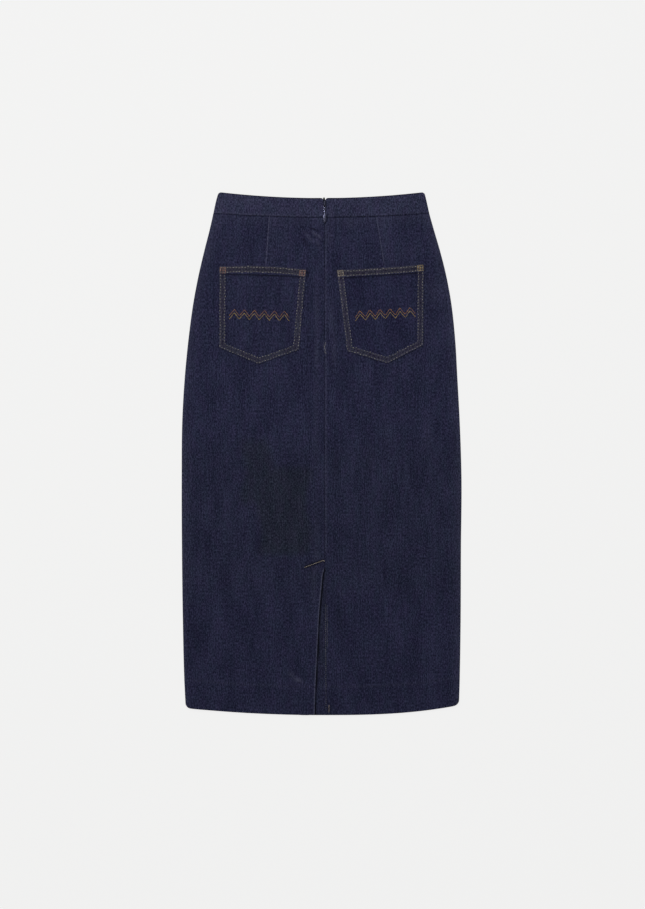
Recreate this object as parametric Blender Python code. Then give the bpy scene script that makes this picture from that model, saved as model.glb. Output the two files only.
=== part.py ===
"""A denim pencil skirt laid flat on its front, with its back side up.

The waist points along +Y and the wearer's right side along +X. The front lies on z = 0, and the two back
panels lie on it. A wall of cloth is a loft between two grids of points, its outer and its inner face, and
both are worked out from the sizes below. Sizes are in metres.
"""

import math

import bmesh
import bpy
import numpy as np
from mathutils import Matrix

MM = 0.001

# ---- Driving sizes -------------------------------------------------------------------------------------

CLOTH = 1.0 * MM  # one layer of heavy denim
FOLDED = 2.0 * MM  # a hem or a facing: two layers
VENT_HEM = 2.6 * MM  # the hem and the vent's facing, one on the other and pressed
BAND = 2.4 * MM  # the waistband: two layers and its stiffening
SEAM_GAP = 0.3 * MM  # between two pieces that are sewn edge to edge, or that lie on each other
LAYER_GAP = 0.4 * MM  # between the front and the back, which lie on each other

TOP_Y = 435.8 * MM  # the waist's top corners
HEM_Y = -435.2 * MM  # the hem at its lowest, in the middle
TOP_DIP = 10.0 * MM  # how far the band's top edge hangs below its corners in the middle
SEAM_Y = 400.5 * MM  # the band's seam at the sides
SEAM_DIP = 6.7 * MM
HEM_RISE_LEFT = 11.6 * MM  # how far the hem's corners are above its middle
HEM_RISE_RIGHT = 16.2 * MM
HEM_DEPTH = 46.0 * MM
CENTRE_BACK = 5.0 * MM  # x of the centre back seam, which lies a little off the middle
LIP = 0.35 * MM  # how far the cloth's edges roll down at the centre back seam

# The half widths of the skirt laid flat, row by row down from the waist's corners, in millimetres.
SECTIONS = np.array(
    [
        # below the waist, left half, right half
        (0, 171.6, 171.2),  # top of the waistband
        (17, 176.3, 175.3),
        (35, 180.2, 179.3),  # seam of the waistband
        (63, 186.5, 187.1),
        (96, 194.8, 196.6),  # high hip
        (130, 202.8, 205.3),
        (180, 212.6, 215.0),
        (246, 221.6, 222.4),  # hip
        (313, 228.1, 226.3),
        (380, 232.0, 229.9),
        (480, 233.1, 233.1),  # thigh, the widest row
        (596, 232.7, 232.2),
        (713, 231.2, 231.7),
        (813, 228.7, 230.1),
        (872, 225.6, 228.2),  # hem
    ]
)
WAIST_CORNER = 4.5 * MM  # radius of the waist's two corners
HEM_CORNER = 8.0 * MM  # radius of the hem's two corners
SIDE_ROLL = 5.5 * MM  # how far in from the side the cloth turns over at the side seam

# Heights of the outer face of the back above the surface that the skirt lies on.
BODY_TOP = 2 * CLOTH + LAYER_GAP
HEM_LIFT = 2 * (FOLDED - CLOTH)  # the turned-up hems of the front and the back
HEM_EASE = 16.0 * MM
BAND_LIFT = 1.8 * MM  # the back rises to meet the waistband
BAND_REACH = 34.0 * MM
SIDE_LIFT = 1.2 * MM  # the seam allowances at the side
SIDE_ALLOWANCE = 16.0 * MM
SIDE_EASE = 13.0 * MM
ZIP_LIFT = 1.3 * MM  # the zip under the centre back
CENTRE_LIFT = 0.8 * MM  # the open seam allowances of the centre back, below the zip
CENTRE_ALLOWANCE = 11.0 * MM
CENTRE_EASE = 12.0 * MM
SIDE_SEAM = 1.45 * MM  # height of the side seam along the body
SIDE_SEAM_THICK = 2.6 * MM  # height of the side seam at the waistband and at the hem
BAND_TOP = 2 * BAND + LAYER_GAP
BAND_ZIP_LIFT = 1.4 * MM

ZIP_END_Y = 176.0 * MM
SLIDER_Y = 416.9 * MM  # the middle of the slider
SLIDER_REST = 1.65 * MM  # how far each end of the waistband stands back from the slider
BAND_END_CORNER = 2.4 * MM  # radius of the corner at the waistband's two ends

VENT_Y = -190.0 * MM  # the centre back seam stops here, and the vent opens
LAP_Y = -171.0 * MM  # top of the underlap at the centre back
LAP_WIDTH = 31.0 * MM
LAP_SLOPE = 0.37  # the top of the underlap slants down away from the centre back
LAP_MARGIN = 5.0 * MM  # the left panel is lifted this far round the underlap
VENT_DRIFT = np.array(
    [
        # below the top of the vent, how far its folded edge has swung away from the centre back, in mm
        (0, 0.3),
        (8, 2.2),
        (37, 5.3),
        (70, 8.4),
        (104, 10.4),
        (137, 12.0),
        (170, 13.7),
        (204, 15.3),
        (246, 16.4),
    ]
)

DARTS = [
    # side, x at the waistband's seam, x at the point, y of the point
    (-1, -87.4 * MM, -94.4 * MM, 308.0 * MM),
    (1, 90.0 * MM, 105.5 * MM, 308.0 * MM),
]
DART_LIFT = 0.6 * MM
DART_WIDTH = 14.0 * MM  # the pressed fold of a dart, on the side towards the centre back

POCKET_TURN = 10.5 * MM  # width of the edges that are turned in
POCKET_HEM_THICK = 2.8 * MM
POCKET_EDGE_THICK = 2.0 * MM
POCKETS = {
    # name: the corners in millimetres, counter-clockwise from the top left one with the bottom's point in the
    # middle, how far the top edge arches, and how deep its hem is below the line between the top corners
    "pocket_left": ([(-170.4, 312.0), (-170.9, 177.0), (-104.8, 149.0), (-37.3, 173.2), (-25.5, 307.0)], 3.8, 12),
    "pocket_right": ([(25.0, 306.4), (42.0, 170.8), (110.0, 150.3), (169.5, 180.7), (170.3, 316.0)], -0.8, 14),
}

# Soft ridges that stand in the back panels where the cloth isn't pressed down.
SOFT_FOLDS = [
    # x, y, direction in degrees from +X, half length, half width, height
    (-24 * MM, 350 * MM, 122, 30 * MM, 10 * MM, 0.8 * MM),  # pull lines beside the zip
    (38 * MM, 342 * MM, 62, 26 * MM, 10 * MM, 0.6 * MM),
    (-142 * MM, 20 * MM, 98, 90 * MM, 26 * MM, 1.0 * MM),  # the fullness at the hips
    (138 * MM, 6 * MM, 83, 95 * MM, 26 * MM, 0.9 * MM),
    (-96 * MM, -190 * MM, 88, 120 * MM, 32 * MM, 0.7 * MM),
    (104 * MM, -220 * MM, 92, 110 * MM, 30 * MM, 0.7 * MM),
]

DENIM = (0.016, 0.017, 0.038, 1.0)
TAPE = (0.010, 0.011, 0.020, 1.0)
ENAMEL = (0.045, 0.047, 0.075, 1.0)


# ---- Outline -------------------------------------------------------------------------------------------


def smooth_curve(knots, values, at):
    """A smooth curve through a table's points: cubic pieces whose slopes come from their neighbours."""
    slopes = np.gradient(values, knots)
    piece = np.clip(np.searchsorted(knots, at) - 1, 0, len(knots) - 2)
    span = knots[piece + 1] - knots[piece]
    t = np.clip((at - knots[piece]) / span, 0, 1)
    start = values[piece] * (1 + 2 * t) * (1 - t) ** 2 + slopes[piece] * span * t * (1 - t) ** 2
    end = values[piece + 1] * t**2 * (3 - 2 * t) + slopes[piece + 1] * span * t**2 * (t - 1)
    return start + end


def ease(distance, reach):
    """1 up to distance 0 and 0 from reach on, with a soft slope between."""
    t = np.clip(distance / reach, 0, 1)
    return 1 - t * t * (3 - 2 * t)


def full_half_width(y, side):
    """Half width of the skirt at y on one side, before the corners are rounded."""
    below = (TOP_Y - np.asarray(y, float)) / MM
    left, right = (smooth_curve(SECTIONS[:, 0], SECTIONS[:, k], below) for k in (1, 2))
    return np.where(np.asarray(side) < 0, left, right) * MM


def hem_y(x):
    """y of the hem at x, which curls up more sharply towards its right corner."""
    share = np.abs(x) / (SECTIONS[-1, 1] * MM)
    return HEM_Y + np.where(np.asarray(x) < 0, HEM_RISE_LEFT * share**2, HEM_RISE_RIGHT * share**2.8)


def seam_y(x):
    """y of the waistband's seam at x."""
    return SEAM_Y - SEAM_DIP * (1 - (x / (SECTIONS[2, 1] * MM)) ** 2)


def top_y(x):
    """y of the waistband's top edge at x."""
    return TOP_Y - TOP_DIP * (1 - (x / (SECTIONS[0, 1] * MM)) ** 2)


def corner_cut(distance, radius):
    """How much a corner's rounding takes off a row's half width, at this distance from the end edge."""
    inside = np.clip(radius - distance, 0, radius)
    return radius - np.sqrt(radius**2 - inside**2)


def side_row(v, side):
    """The y at the side, and the half width, of the panels' row v: 0 at the hem and 1 at the band's seam."""
    corner_x = side * SECTIONS[-1, 1] * MM
    y = hem_y(corner_x) * (1 - v) + SEAM_Y * v
    half = full_half_width(y, side)
    return y, half - corner_cut(y - hem_y(corner_x), HEM_CORNER)


def row_of(x, y):
    """The panels' row v that passes through a point."""
    return (y - hem_y(x)) / (seam_y(x) - hem_y(x))


def side_distance(x, y):
    """How far a point of the panels is from the side edge of its row."""
    side = np.where(x < 0, -1, 1)
    return side_row(row_of(x, y), side)[1] - np.abs(x)


# ---- Heights of the cloth ------------------------------------------------------------------------------


def in_hem(x, y):
    """1 in the turned-up hem, and 0 above it."""
    return ease(y - hem_y(x) - HEM_DEPTH, 3 * MM)


def near_band(x, y):
    """1 at the waistband's seam, falling to 0 where the back has come down from it."""
    return ease(seam_y(x) - y, BAND_REACH)


def vent_edge_x(y):
    """The folded edge of the back's left panel: at the centre back, then swinging out down the vent."""
    below = (VENT_Y - y) / MM
    drift = smooth_curve(VENT_DRIFT[:, 0], VENT_DRIFT[:, 1], np.maximum(below, 0))
    return CENTRE_BACK - SEAM_GAP / 2 - np.where(below > 0, drift * MM, 0)


def in_lap(x, y):
    """1 where the left panel lies over the underlap, with its slanting top, and 0 elsewhere."""
    across = CENTRE_BACK - x
    above_top = y - (LAP_Y - LAP_SLOPE * np.clip(across, 0, LAP_WIDTH))
    return ease(above_top - LAP_MARGIN, 8 * MM) * ease(across - LAP_WIDTH - LAP_MARGIN, 8 * MM)


def soft_folds(x, y):
    """Height of the long soft ridges: each is a bell across its line that fades out along it."""
    height = np.zeros_like(x)
    for fold_x, fold_y, degrees, half_length, half_width, peak in SOFT_FOLDS:
        angle = math.radians(degrees)
        along = (x - fold_x) * math.cos(angle) + (y - fold_y) * math.sin(angle)
        across = (y - fold_y) * math.cos(angle) - (x - fold_x) * math.sin(angle)
        height += peak * np.exp(-((along / half_length) ** 2) * 1.5 - (across / half_width) ** 2)
    return height


def dart_x(dart, y):
    """x of a dart's seam at y. Below the dart's point the line goes straight down."""
    side, at_seam, at_point, point_y = dart
    return at_seam + (at_point - at_seam) * np.clip((SEAM_Y - y) / (SEAM_Y - point_y), 0, 1)


def dart_relief(x, y):
    """The cloth taken in by a dart lies folded on the side towards the centre back, and lifts it there."""
    height = np.zeros_like(x)
    for dart in DARTS:
        inward = -dart[0] * (x - dart_x(dart, y))
        length = np.clip((y - dart[3]) / (SEAM_Y - dart[3]), 0, 1)
        shape = ease(np.abs(inward - 5 * MM) - 1 * MM, DART_WIDTH / 2)
        height += DART_LIFT * length**0.7 * shape
    return height


def above_lap(y):
    """1 along the centre back seam, falling to 0 just above the underlap."""
    return 1 - ease(y - LAP_Y - 2 * MM, 12 * MM)


def centre_relief(x, y):
    """The zip, and below it the open seam allowances, lift the back along the centre seam."""
    zipped = ease(ZIP_END_Y - y, 20 * MM)
    lift = (CENTRE_LIFT + (ZIP_LIFT - CENTRE_LIFT) * zipped) * above_lap(y)
    return lift * ease(np.abs(x - CENTRE_BACK) - CENTRE_ALLOWANCE, CENTRE_EASE)


def over_front(x, y):
    """Height of the top of one layer that lies on the front, with the hems of both."""
    return BODY_TOP + HEM_LIFT * ease(y - hem_y(x) - HEM_DEPTH, HEM_EASE)


def back_top(x, y):
    """Height of the back panels' outer face, before it turns over at the sides and the hem."""
    x, y = np.broadcast_arrays(np.asarray(x, float), np.asarray(y, float))
    seamed = near_band(x, y)
    sides = SIDE_LIFT * (1 - 0.6 * seamed) * ease(side_distance(x, y) - SIDE_ALLOWANCE, SIDE_EASE)
    height = over_front(x, y) + BAND_LIFT * seamed + sides + centre_relief(x, y) + dart_relief(x, y)
    return height + soft_folds(x, y) * (1 - seamed)


def panel_thickness(x, y):
    """Cloth, and two layers of it in the hem."""
    return CLOTH + (FOLDED - CLOTH) * in_hem(x, y)


def back_thickness(x, y, side):
    """Thickness of one back panel: the left one is also doubled by the vent's facing."""
    thickness = panel_thickness(x, y)
    if side > 0:
        return thickness
    faced = FOLDED + (VENT_HEM - FOLDED) * in_hem(x, y)
    return thickness + (faced - thickness) * in_lap(x, y)


def back_face(x, y, side):
    """Outer face of one back panel. In the lap the left one lies on the right one's underlap."""
    height = back_top(x, y)
    if side < 0:
        over = over_front(x, y) + SEAM_GAP + back_thickness(x, y, side)
        height = height + (over - height) * in_lap(x, y)
    edge = vent_edge_x(y) if side < 0 else CENTRE_BACK
    return height - LIP * ease(np.abs(x - edge), 2.5 * MM) * above_lap(y)


def side_seam_z(x, y):
    """Height of the side seam, where the front ends and, a gap higher, the back begins."""
    return SIDE_SEAM + (SIDE_SEAM_THICK - SIDE_SEAM) * np.maximum(in_hem(x, y), near_band(x, y))


# ---- Making solids -------------------------------------------------------------------------------------


def make_material(name, colour, roughness, metallic):
    """A Principled material, made once for all the pieces that share it."""
    found = bpy.data.materials.get(name)
    if found:
        return found
    material = bpy.data.materials.new(name)
    material.use_nodes = True
    shader = material.node_tree.nodes["Principled BSDF"]
    shader.inputs["Base Color"].default_value = colour
    shader.inputs["Roughness"].default_value = roughness
    shader.inputs["Metallic"].default_value = metallic
    return material


def place(name, mesh, material, collection):
    """Puts a mesh into the scene as a named object."""
    mesh.name = name
    mesh.materials.append(material)
    obj = bpy.data.objects.new(name, mesh)
    collection.objects.link(obj)
    return obj


def denim():
    return make_material("denim", DENIM, 0.92, 0.0)


def zip_tape():
    return make_material("zip_tape", TAPE, 0.8, 0.0)


def zip_enamel():
    return make_material("zip_enamel", ENAMEL, 0.3, 0.6)


def make_wall(name, outer, inner, material, collection, cells=None):
    """A closed wall between two grids of points of the same size, with a rim wherever its cells end.

    cells tells which cells of the grid are there, and without it all of them are.
    """
    rows, columns = outer.shape[:2]
    if cells is None:
        cells = np.ones((rows - 1, columns - 1), bool)
    number = np.arange(2 * rows * columns).reshape(2, rows, columns)
    faces = []
    for sheet in number:
        quads = np.stack([sheet[:-1, :-1], sheet[:-1, 1:], sheet[1:, 1:], sheet[1:, :-1]], axis=-1)
        faces += quads[cells].tolist()
    around = np.pad(cells, 1)
    along_rows = around[:-1, 1:-1] != around[1:, 1:-1]
    along_columns = around[1:-1, :-1] != around[1:-1, 1:]
    for there, first, second in (
        (along_rows, np.s_[:, :, :-1], np.s_[:, :, 1:]),
        (along_columns, np.s_[:, :-1, :], np.s_[:, 1:, :]),
    ):
        a, b = number[first], number[second]
        faces += np.stack([a[0], b[0], b[1], a[1]], axis=-1)[there].tolist()
    points = np.concatenate([outer.reshape(-1, 3), inner.reshape(-1, 3)])
    mesh = bpy.data.meshes.new(name)
    mesh.from_pydata(points.tolist(), [], faces)
    shaped = bmesh.new()
    shaped.from_mesh(mesh)
    bmesh.ops.delete(shaped, geom=[v for v in shaped.verts if not v.link_faces], context="VERTS")
    bmesh.ops.recalc_face_normals(shaped, faces=shaped.faces)
    shaped.to_mesh(mesh)
    shaped.free()
    mesh.shade_smooth()
    mesh.set_sharp_from_angle(angle=math.radians(50))
    return place(name, mesh, material, collection)


def grid(x, y, z):
    """Points in rows and columns, from x, y and z that are numbers, rows, columns or grids."""
    return np.stack(np.broadcast_arrays(x, y, z), axis=-1)


def box_mesh(size, centre, bevel):
    """The mesh of a box with softened edges."""
    shaped = bmesh.new()
    bmesh.ops.create_cube(shaped, size=1.0)
    bmesh.ops.scale(shaped, vec=size, verts=shaped.verts)
    bmesh.ops.bevel(shaped, geom=shaped.edges[:], offset=bevel, segments=2, affect="EDGES", profile=0.5)
    bmesh.ops.translate(shaped, vec=centre, verts=shaped.verts)
    mesh = bpy.data.meshes.new("box")
    shaped.to_mesh(mesh)
    shaped.free()
    return mesh


def outline_mesh(outlines, thickness, matrix):
    """A flat plate from closed outlines, the later ones holes, turned into place by a matrix."""
    curve = bpy.data.curves.new("outline", "CURVE")
    curve.dimensions = "2D"
    curve.fill_mode = "BOTH"
    curve.extrude = thickness / 2
    for outline in outlines:
        spline = curve.splines.new("POLY")
        spline.points.add(len(outline) - 1)
        for point, (a, b) in zip(spline.points, outline):
            point.co = (a, b, 0, 1)
        spline.use_cyclic_u = True
    drawn = bpy.data.objects.new("outline", curve)
    bpy.context.scene.collection.objects.link(drawn)
    bpy.context.view_layer.update()
    mesh = bpy.data.meshes.new_from_object(drawn.evaluated_get(bpy.context.evaluated_depsgraph_get()))
    bpy.data.objects.remove(drawn)
    shaped = bmesh.new()
    shaped.from_mesh(mesh)
    bmesh.ops.remove_doubles(shaped, verts=shaped.verts, dist=0.01 * MM)
    bmesh.ops.recalc_face_normals(shaped, faces=shaped.faces)
    shaped.to_mesh(mesh)
    shaped.free()
    mesh.transform(matrix)
    return mesh


def unite(obj, others, cutters):
    """Joins further meshes to an object with Boolean unions."""
    for mesh in others:
        helper = bpy.data.objects.new(obj.name + "_join", mesh)
        helper.hide_render = True
        helper.display_type = "WIRE"
        cutters.objects.link(helper)
        join = obj.modifiers.new("join", "BOOLEAN")
        join.operation = "UNION"
        join.object = helper


# ---- The panels ----------------------------------------------------------------------------------------

HEM_ROWS = np.array([0, 0.7, 2.2, 8, 26, 43, 46, 49, 60]) * MM  # distances up from the hem
SEAM_ROWS = np.array([26, 17, 9, 3, 0]) * MM  # distances down from the band's seam
ROLL_ANGLES = np.radians([0, 30, 60, 90])


def panel_rows(spacing, extra=()):
    """Rows from hem to seam as shares of the height, close together at both ends and at the extra ones."""
    height = SEAM_Y - HEM_Y
    count = int((height - HEM_ROWS[-1] - SEAM_ROWS[0]) / spacing)
    middle = np.linspace(HEM_ROWS[-1], height - SEAM_ROWS[0], count + 2)[1:-1] / height
    middle = [m for m in middle if all(abs(m - e) > 0.3 * spacing / height for e in extra)]
    return np.sort(np.concatenate([HEM_ROWS / height, middle, extra, 1 - SEAM_ROWS / height]))


def hem_fold(x, y):
    """The share of the wall's thickness left at the hem, where the fold turns round."""
    distance = np.clip((y - hem_y(x)) / (FOLDED / 2), 0, 1)
    return np.maximum(np.sqrt(1 - (1 - distance) ** 2), 0.3)


def rolled_columns(thickness):
    """Distances in from the side of the outer and inner faces, as the cloth turns over at the seam."""
    turn = 1 - np.cos(ROLL_ANGLES)[None, :]
    return SIDE_ROLL * turn + 0 * thickness, thickness + (SIDE_ROLL - thickness) * turn


def spread(knots, counts):
    """Columns of x between columns that are given: counts tells how many cells lie between two of them."""
    columns = [knots[0]]
    for start, end, count in zip(knots, knots[1:], counts):
        columns += [start + (end - start) * k / count for k in range(1, count + 1)]
    return np.concatenate(columns, axis=1)


def back_columns(side, y, start):
    """x of a back panel's flat columns: from the rolled side edge, past the dart, to the centre back."""
    dart = next(d for d in DARTS if d[0] == side)
    seam = dart_x(dart, y)
    ones = np.ones_like(y)
    knots = [start, seam + side * 9 * MM, seam, seam - side * 5 * MM, seam - side * 13 * MM]
    if side < 0:
        lap = [(CENTRE_BACK - d * MM) * ones for d in (46, 40, 33, 26, 20)]
        edge = vent_edge_x(y)
        lip = edge + (lap[-1] - edge) * 0.15
        return spread([*knots, *lap, lip, edge], [5, 1, 1, 1, 2, 1, 1, 1, 1, 2, 1])
    seamed = [(CENTRE_BACK + d * MM) * ones for d in (24, 11, 2, SEAM_GAP / 2 / MM)]
    underlap = [(CENTRE_BACK - d * MM) * ones for d in (8, 18, LAP_WIDTH / MM)]
    return spread([*knots, *seamed, *underlap], [5, 1, 1, 1, 3, 3, 2, 1, 1, 1, 1])


def slant_underlap(x, y):
    """y with the underlap's rows tilted to its slanting top, and level again well above the hem."""
    across = np.clip(CENTRE_BACK - x, 0, LAP_WIDTH)
    level = HEM_Y + 2 * HEM_DEPTH
    return y - LAP_SLOPE * across * np.clip((y - level) / (LAP_Y - level), 0, 1)


def back_panel(name, side, rows, collection):
    """One back panel. The right one runs on under the left one below the top of the vent."""
    v = rows[:, None]
    side_y, half = side_row(v, side)
    thickness = panel_thickness(side * half, side_y)
    start = side * (half - SIDE_ROLL)
    flat_y = side_y + (hem_y(CENTRE_BACK) - hem_y(side * half)) * (1 - v)
    flat = back_columns(side, flat_y, start)
    roll = np.concatenate([np.sin(ROLL_ANGLES), np.ones(flat.shape[1] - 1)])[None, :]
    seam = side_seam_z(side * half, side_y) + SEAM_GAP
    grids = []
    for sign, turned in zip((1, -1), rolled_columns(thickness)):
        x = np.concatenate([side * (half - turned)[:, :-1], flat], axis=1)
        y = hem_y(x) * (1 - v) + seam_y(x) * v
        if side > 0:
            y = slant_underlap(x, y)
        held_x = np.where(np.abs(x) > np.abs(start), start, x)
        thick = back_thickness(held_x, y, side)
        face = back_face(held_x, y, side) - thick / 2 + sign * thick / 2 * hem_fold(x, y)
        grids.append(grid(x, y, seam + (face - seam) * roll))
    cells = np.ones((len(rows) - 1, grids[0].shape[1] - 1), bool)
    if side > 0:
        over_lap = rows[:-1] > row_of(CENTRE_BACK, LAP_Y) - 1e-6
        cells[over_lap, -3:] = False
    make_wall(name, *grids, denim(), collection, cells=cells)


def front_panel(collection):
    """The front lies face down: its outer face is the flat underside, turned up at the side seams."""
    v = panel_rows(60 * MM)[:, None]
    (left_y, left_half), (right_y, right_half) = side_row(v, -1), side_row(v, 1)
    thickness = panel_thickness(-left_half, left_y)
    shares = np.linspace(0, 1, 10)[None, 1:-1]
    flat = (SIDE_ROLL - left_half) * (1 - shares) + (right_half - SIDE_ROLL) * shares
    roll = np.sin(ROLL_ANGLES)
    roll = np.concatenate([roll, np.ones(shares.shape[1]), roll[::-1]])[None, :]
    grids = []
    for sign, turned in zip((-1, 1), rolled_columns(thickness)):
        x = np.concatenate([turned - left_half, flat, (right_half - turned)[:, ::-1]], axis=1)
        y = hem_y(x) * (1 - v) + seam_y(x) * v
        face = panel_thickness(x, y) / 2 * (1 + sign * hem_fold(x, y))
        seam = np.where(x < 0, side_seam_z(-left_half, left_y), side_seam_z(right_half, right_y))
        grids.append(grid(x, y, seam + (face - seam) * roll))
    make_wall("front_panel", *grids, denim(), collection)


def back_panels(collection):
    height = SEAM_Y - HEM_Y
    lap_rows = row_of(CENTRE_BACK, LAP_Y) + np.array([14, 7, 0, -5, -11, -18, -26]) * MM / height
    rows = panel_rows(36 * MM, extra=[row_of(CENTRE_BACK, ZIP_END_Y), *lap_rows])
    back_panel("back_left", -1, rows, collection)
    back_panel("back_right", 1, rows, collection)


# ---- The waistband -------------------------------------------------------------------------------------

BAND_ROWS = np.array([0, 0.05, 0.25, 0.45, 0.6, 0.72, 0.86, 0.965, 0.99, 1.0])[:, None]
BAND_COLUMNS = np.array([0.06, 0.16, 0.3, 0.45, 0.6, 0.72, 0.82, 0.87, 0.92, 0.975, 0.99, 1.0])[None, :]


def band_y(x):
    """y of the waistband's rows at x, a gap above the panels."""
    return (seam_y(x) + SEAM_GAP) * (1 - BAND_ROWS) + top_y(x) * BAND_ROWS


def band_side(side):
    """Half width of the waistband's rows, with the waist's corner rounded."""
    y = SEAM_Y + SEAM_GAP + (TOP_Y - SEAM_Y - SEAM_GAP) * BAND_ROWS
    return full_half_width(y, side) - corner_cut((1 - BAND_ROWS) * (TOP_Y - SEAM_Y), WAIST_CORNER)


def band_fold():
    """The share of the band's thickness left near its folded top edge."""
    distance = np.clip((1 - BAND_ROWS) * (TOP_Y - SEAM_Y) / (BAND / 2), 0, 1)
    return np.maximum(np.sqrt(1 - (1 - distance) ** 2), 0.3)


def band_end():
    """Distance of each row's end from the centre back: it opens round the slider, and its corner is round."""
    y = band_y(np.full(BAND_ROWS.shape, CENTRE_BACK))
    corner = corner_cut(top_y(CENTRE_BACK) - y, BAND_END_CORNER)
    return SEAM_GAP / 2 + SLIDER_REST * ease(SLIDER_Y - 5 * MM - y, 7 * MM) + corner


def band_top(x):
    """Height of the back waistband's outer face, which lifts over the zip."""
    return BAND_TOP + BAND_ZIP_LIFT * ease(np.abs(x - CENTRE_BACK) - CENTRE_ALLOWANCE, CENTRE_EASE)


def back_band(name, side, collection):
    """One half of the back waistband, from the side seam to the zip."""
    half = band_side(side)
    start = side * (half - SIDE_ROLL)
    end = CENTRE_BACK + side * band_end()
    flat = start + (end - start) * BAND_COLUMNS
    roll = np.concatenate([np.sin(ROLL_ANGLES)[None, :], np.ones(BAND_COLUMNS.shape)], axis=1)
    seam = SIDE_SEAM_THICK + SEAM_GAP
    grids = []
    for sign, turned in zip((1, -1), rolled_columns(np.full(half.shape, BAND))):
        x = np.concatenate([side * (half - turned), flat], axis=1)
        held_x = np.where(np.abs(x) > np.abs(start), start, x)
        face = band_top(held_x) - BAND / 2 * (1 - sign * band_fold())
        grids.append(grid(x, band_y(x), seam + (face - seam) * roll))
    make_wall(name, *grids, denim(), collection)


def front_band(collection):
    """The front waistband, in one piece, lying face down on its flat outer face."""
    left_half, right_half = band_side(-1), band_side(1)
    shares = np.linspace(0, 1, 16)[None, 1:-1]
    flat = (SIDE_ROLL - left_half) * (1 - shares) + (right_half - SIDE_ROLL) * shares
    roll = np.sin(ROLL_ANGLES)
    roll = np.concatenate([roll, np.ones(shares.shape[1]), roll[::-1]])[None, :]
    grids = []
    for sign, turned in zip((-1, 1), rolled_columns(np.full(left_half.shape, BAND))):
        x = np.concatenate([turned - left_half, flat, (right_half - turned)[:, ::-1]], axis=1)
        face = BAND / 2 * (1 + sign * band_fold())
        grids.append(grid(x, band_y(x), SIDE_SEAM_THICK + (face - SIDE_SEAM_THICK) * roll))
    make_wall("band_front", *grids, denim(), collection)


# ---- The pockets ---------------------------------------------------------------------------------------


def pocket_point(name, across, down):
    """A point of the pocket: across from -1 to 1, and down from 0 at the top edge to 1 at the bottom edges."""
    corners, arch, hem = POCKETS[name]
    corners = np.array(corners) * MM
    top_x, top_line = (np.interp(across, (-1, 1), corners[[0, 4], k]) for k in (0, 1))
    low_x, low_line = (np.interp(across, (-1, 0, 1), corners[1:4, k]) for k in (0, 1))
    top_line = top_line + arch * MM * (1 - across**2)
    return top_x + (low_x - top_x) * down, top_line + (low_line - top_line) * down


def pocket_edges(name, x, y):
    """How far in a point is from the nearer side or bottom edge, from the top edge, and below the hem."""
    corners, arch, hem = POCKETS[name]
    corners = np.array(corners) * MM
    inside = []
    for (ax, ay), (bx, by) in zip(corners, np.roll(corners, -1, axis=0)):
        inside.append(((bx - ax) * (y - ay) - (by - ay) * (x - ax)) / math.hypot(bx - ax, by - ay))
    left, low_left, low_right, right, top = inside
    across = (left - right) / (left + right)
    from_edge = np.minimum(np.minimum(left, right), np.minimum(low_left, low_right))
    return from_edge, top + arch * MM * (1 - across**2), top - hem * MM


def pocket(name, collection):
    """A patch pocket: a wall laid on the back panel, thick where its edges and its hem are turned in."""
    across = np.array([-1, -0.985, -0.86, -0.83, -0.5, -0.2, 0, 0.2, 0.5, 0.83, 0.86, 0.985, 1])[None, :]
    down = np.array([0, 0.006, 0.075, 0.092, 0.112, 0.3, 0.5, 0.7, 0.89, 0.925, 0.99, 1])[:, None]
    x, y = pocket_point(name, across, down)
    from_edge, from_top, below_hem = pocket_edges(name, x, y)
    thick = CLOTH + (POCKET_EDGE_THICK - CLOTH) * ease(from_edge - POCKET_TURN, 2 * MM)
    thick = thick + (POCKET_HEM_THICK - thick) * ease(below_hem, 2 * MM)
    rim = ease(np.minimum(from_edge, from_top), 0.9 * MM)
    under = back_face(x, y, -1 if name == "pocket_left" else 1) + SEAM_GAP
    outer = grid(x, y, under + thick * (1 - 0.45 * rim))
    make_wall(name, outer, grid(x, y, under), denim(), collection)


# ---- The zip -------------------------------------------------------------------------------------------

TAPE_THICK = 0.5 * MM
TAPE_INNER = 1.65 * MM  # the tapes' inner edges, beside the slider's body and the chain
TAPE_OUTER = 12.0 * MM
TAPE_END = 0.3 * MM  # how far the tapes end below the waistband's top edge
CHAIN_HALF = 1.3 * MM
CHAIN_THICK = 0.8 * MM
CHAIN_CROWN = 0.25 * MM  # how far the chain's top edges are rounded off
SLIDER_LENGTH = 10.0 * MM
SLIDER_WIDTH = 2.7 * MM  # of its body, in the gap between the waistband's ends
FLANGE_WIDTH = 5.6 * MM
FLANGE_THICK = 0.5 * MM
FLANGE_Z = 2.9 * MM  # height of the flange's middle
BODY_UNDER_PIVOT = 0.85 * MM  # from the top of the body up to the pull's pivot
ARCH_WIDTH = 1.6 * MM
ARCH = [
    # along the zip, height above the body's top, in mm: outside of the arch
    (-4.2, -0.5),
    (4.2, -0.5),
    (4.2, 1.2),
    (3.4, 2.2),
    (-3.4, 2.2),
    (-4.2, 1.2),
]
ARCH_HOLE = [
    (-3.4, 0.1),
    (-3.4, 1.1),
    (-3.0, 1.55),
    (3.0, 1.55),
    (3.4, 1.1),
    (3.4, 0.1),
]
PULL_THICK = 0.8 * MM
PULL_LENGTH = 30.0 * MM
PULL_Y = SLIDER_Y - 2.65 * MM  # the pull's pivot, at the lower end of the arch
PULL_Z = 7.6 * MM
BAR_HALF = 0.4 * MM  # half the height of the pull's cross-bar
EYE_HALF = 1.1 * MM  # half the width of the pull's eye, which the arch passes through
EYE_LENGTH = 4.0 * MM
SHOULDER = 1.9 * MM  # half widths of the pull: beside its eye, at its neck and at its belly
NECK = 1.5 * MM
BELLY = 2.3 * MM


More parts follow.
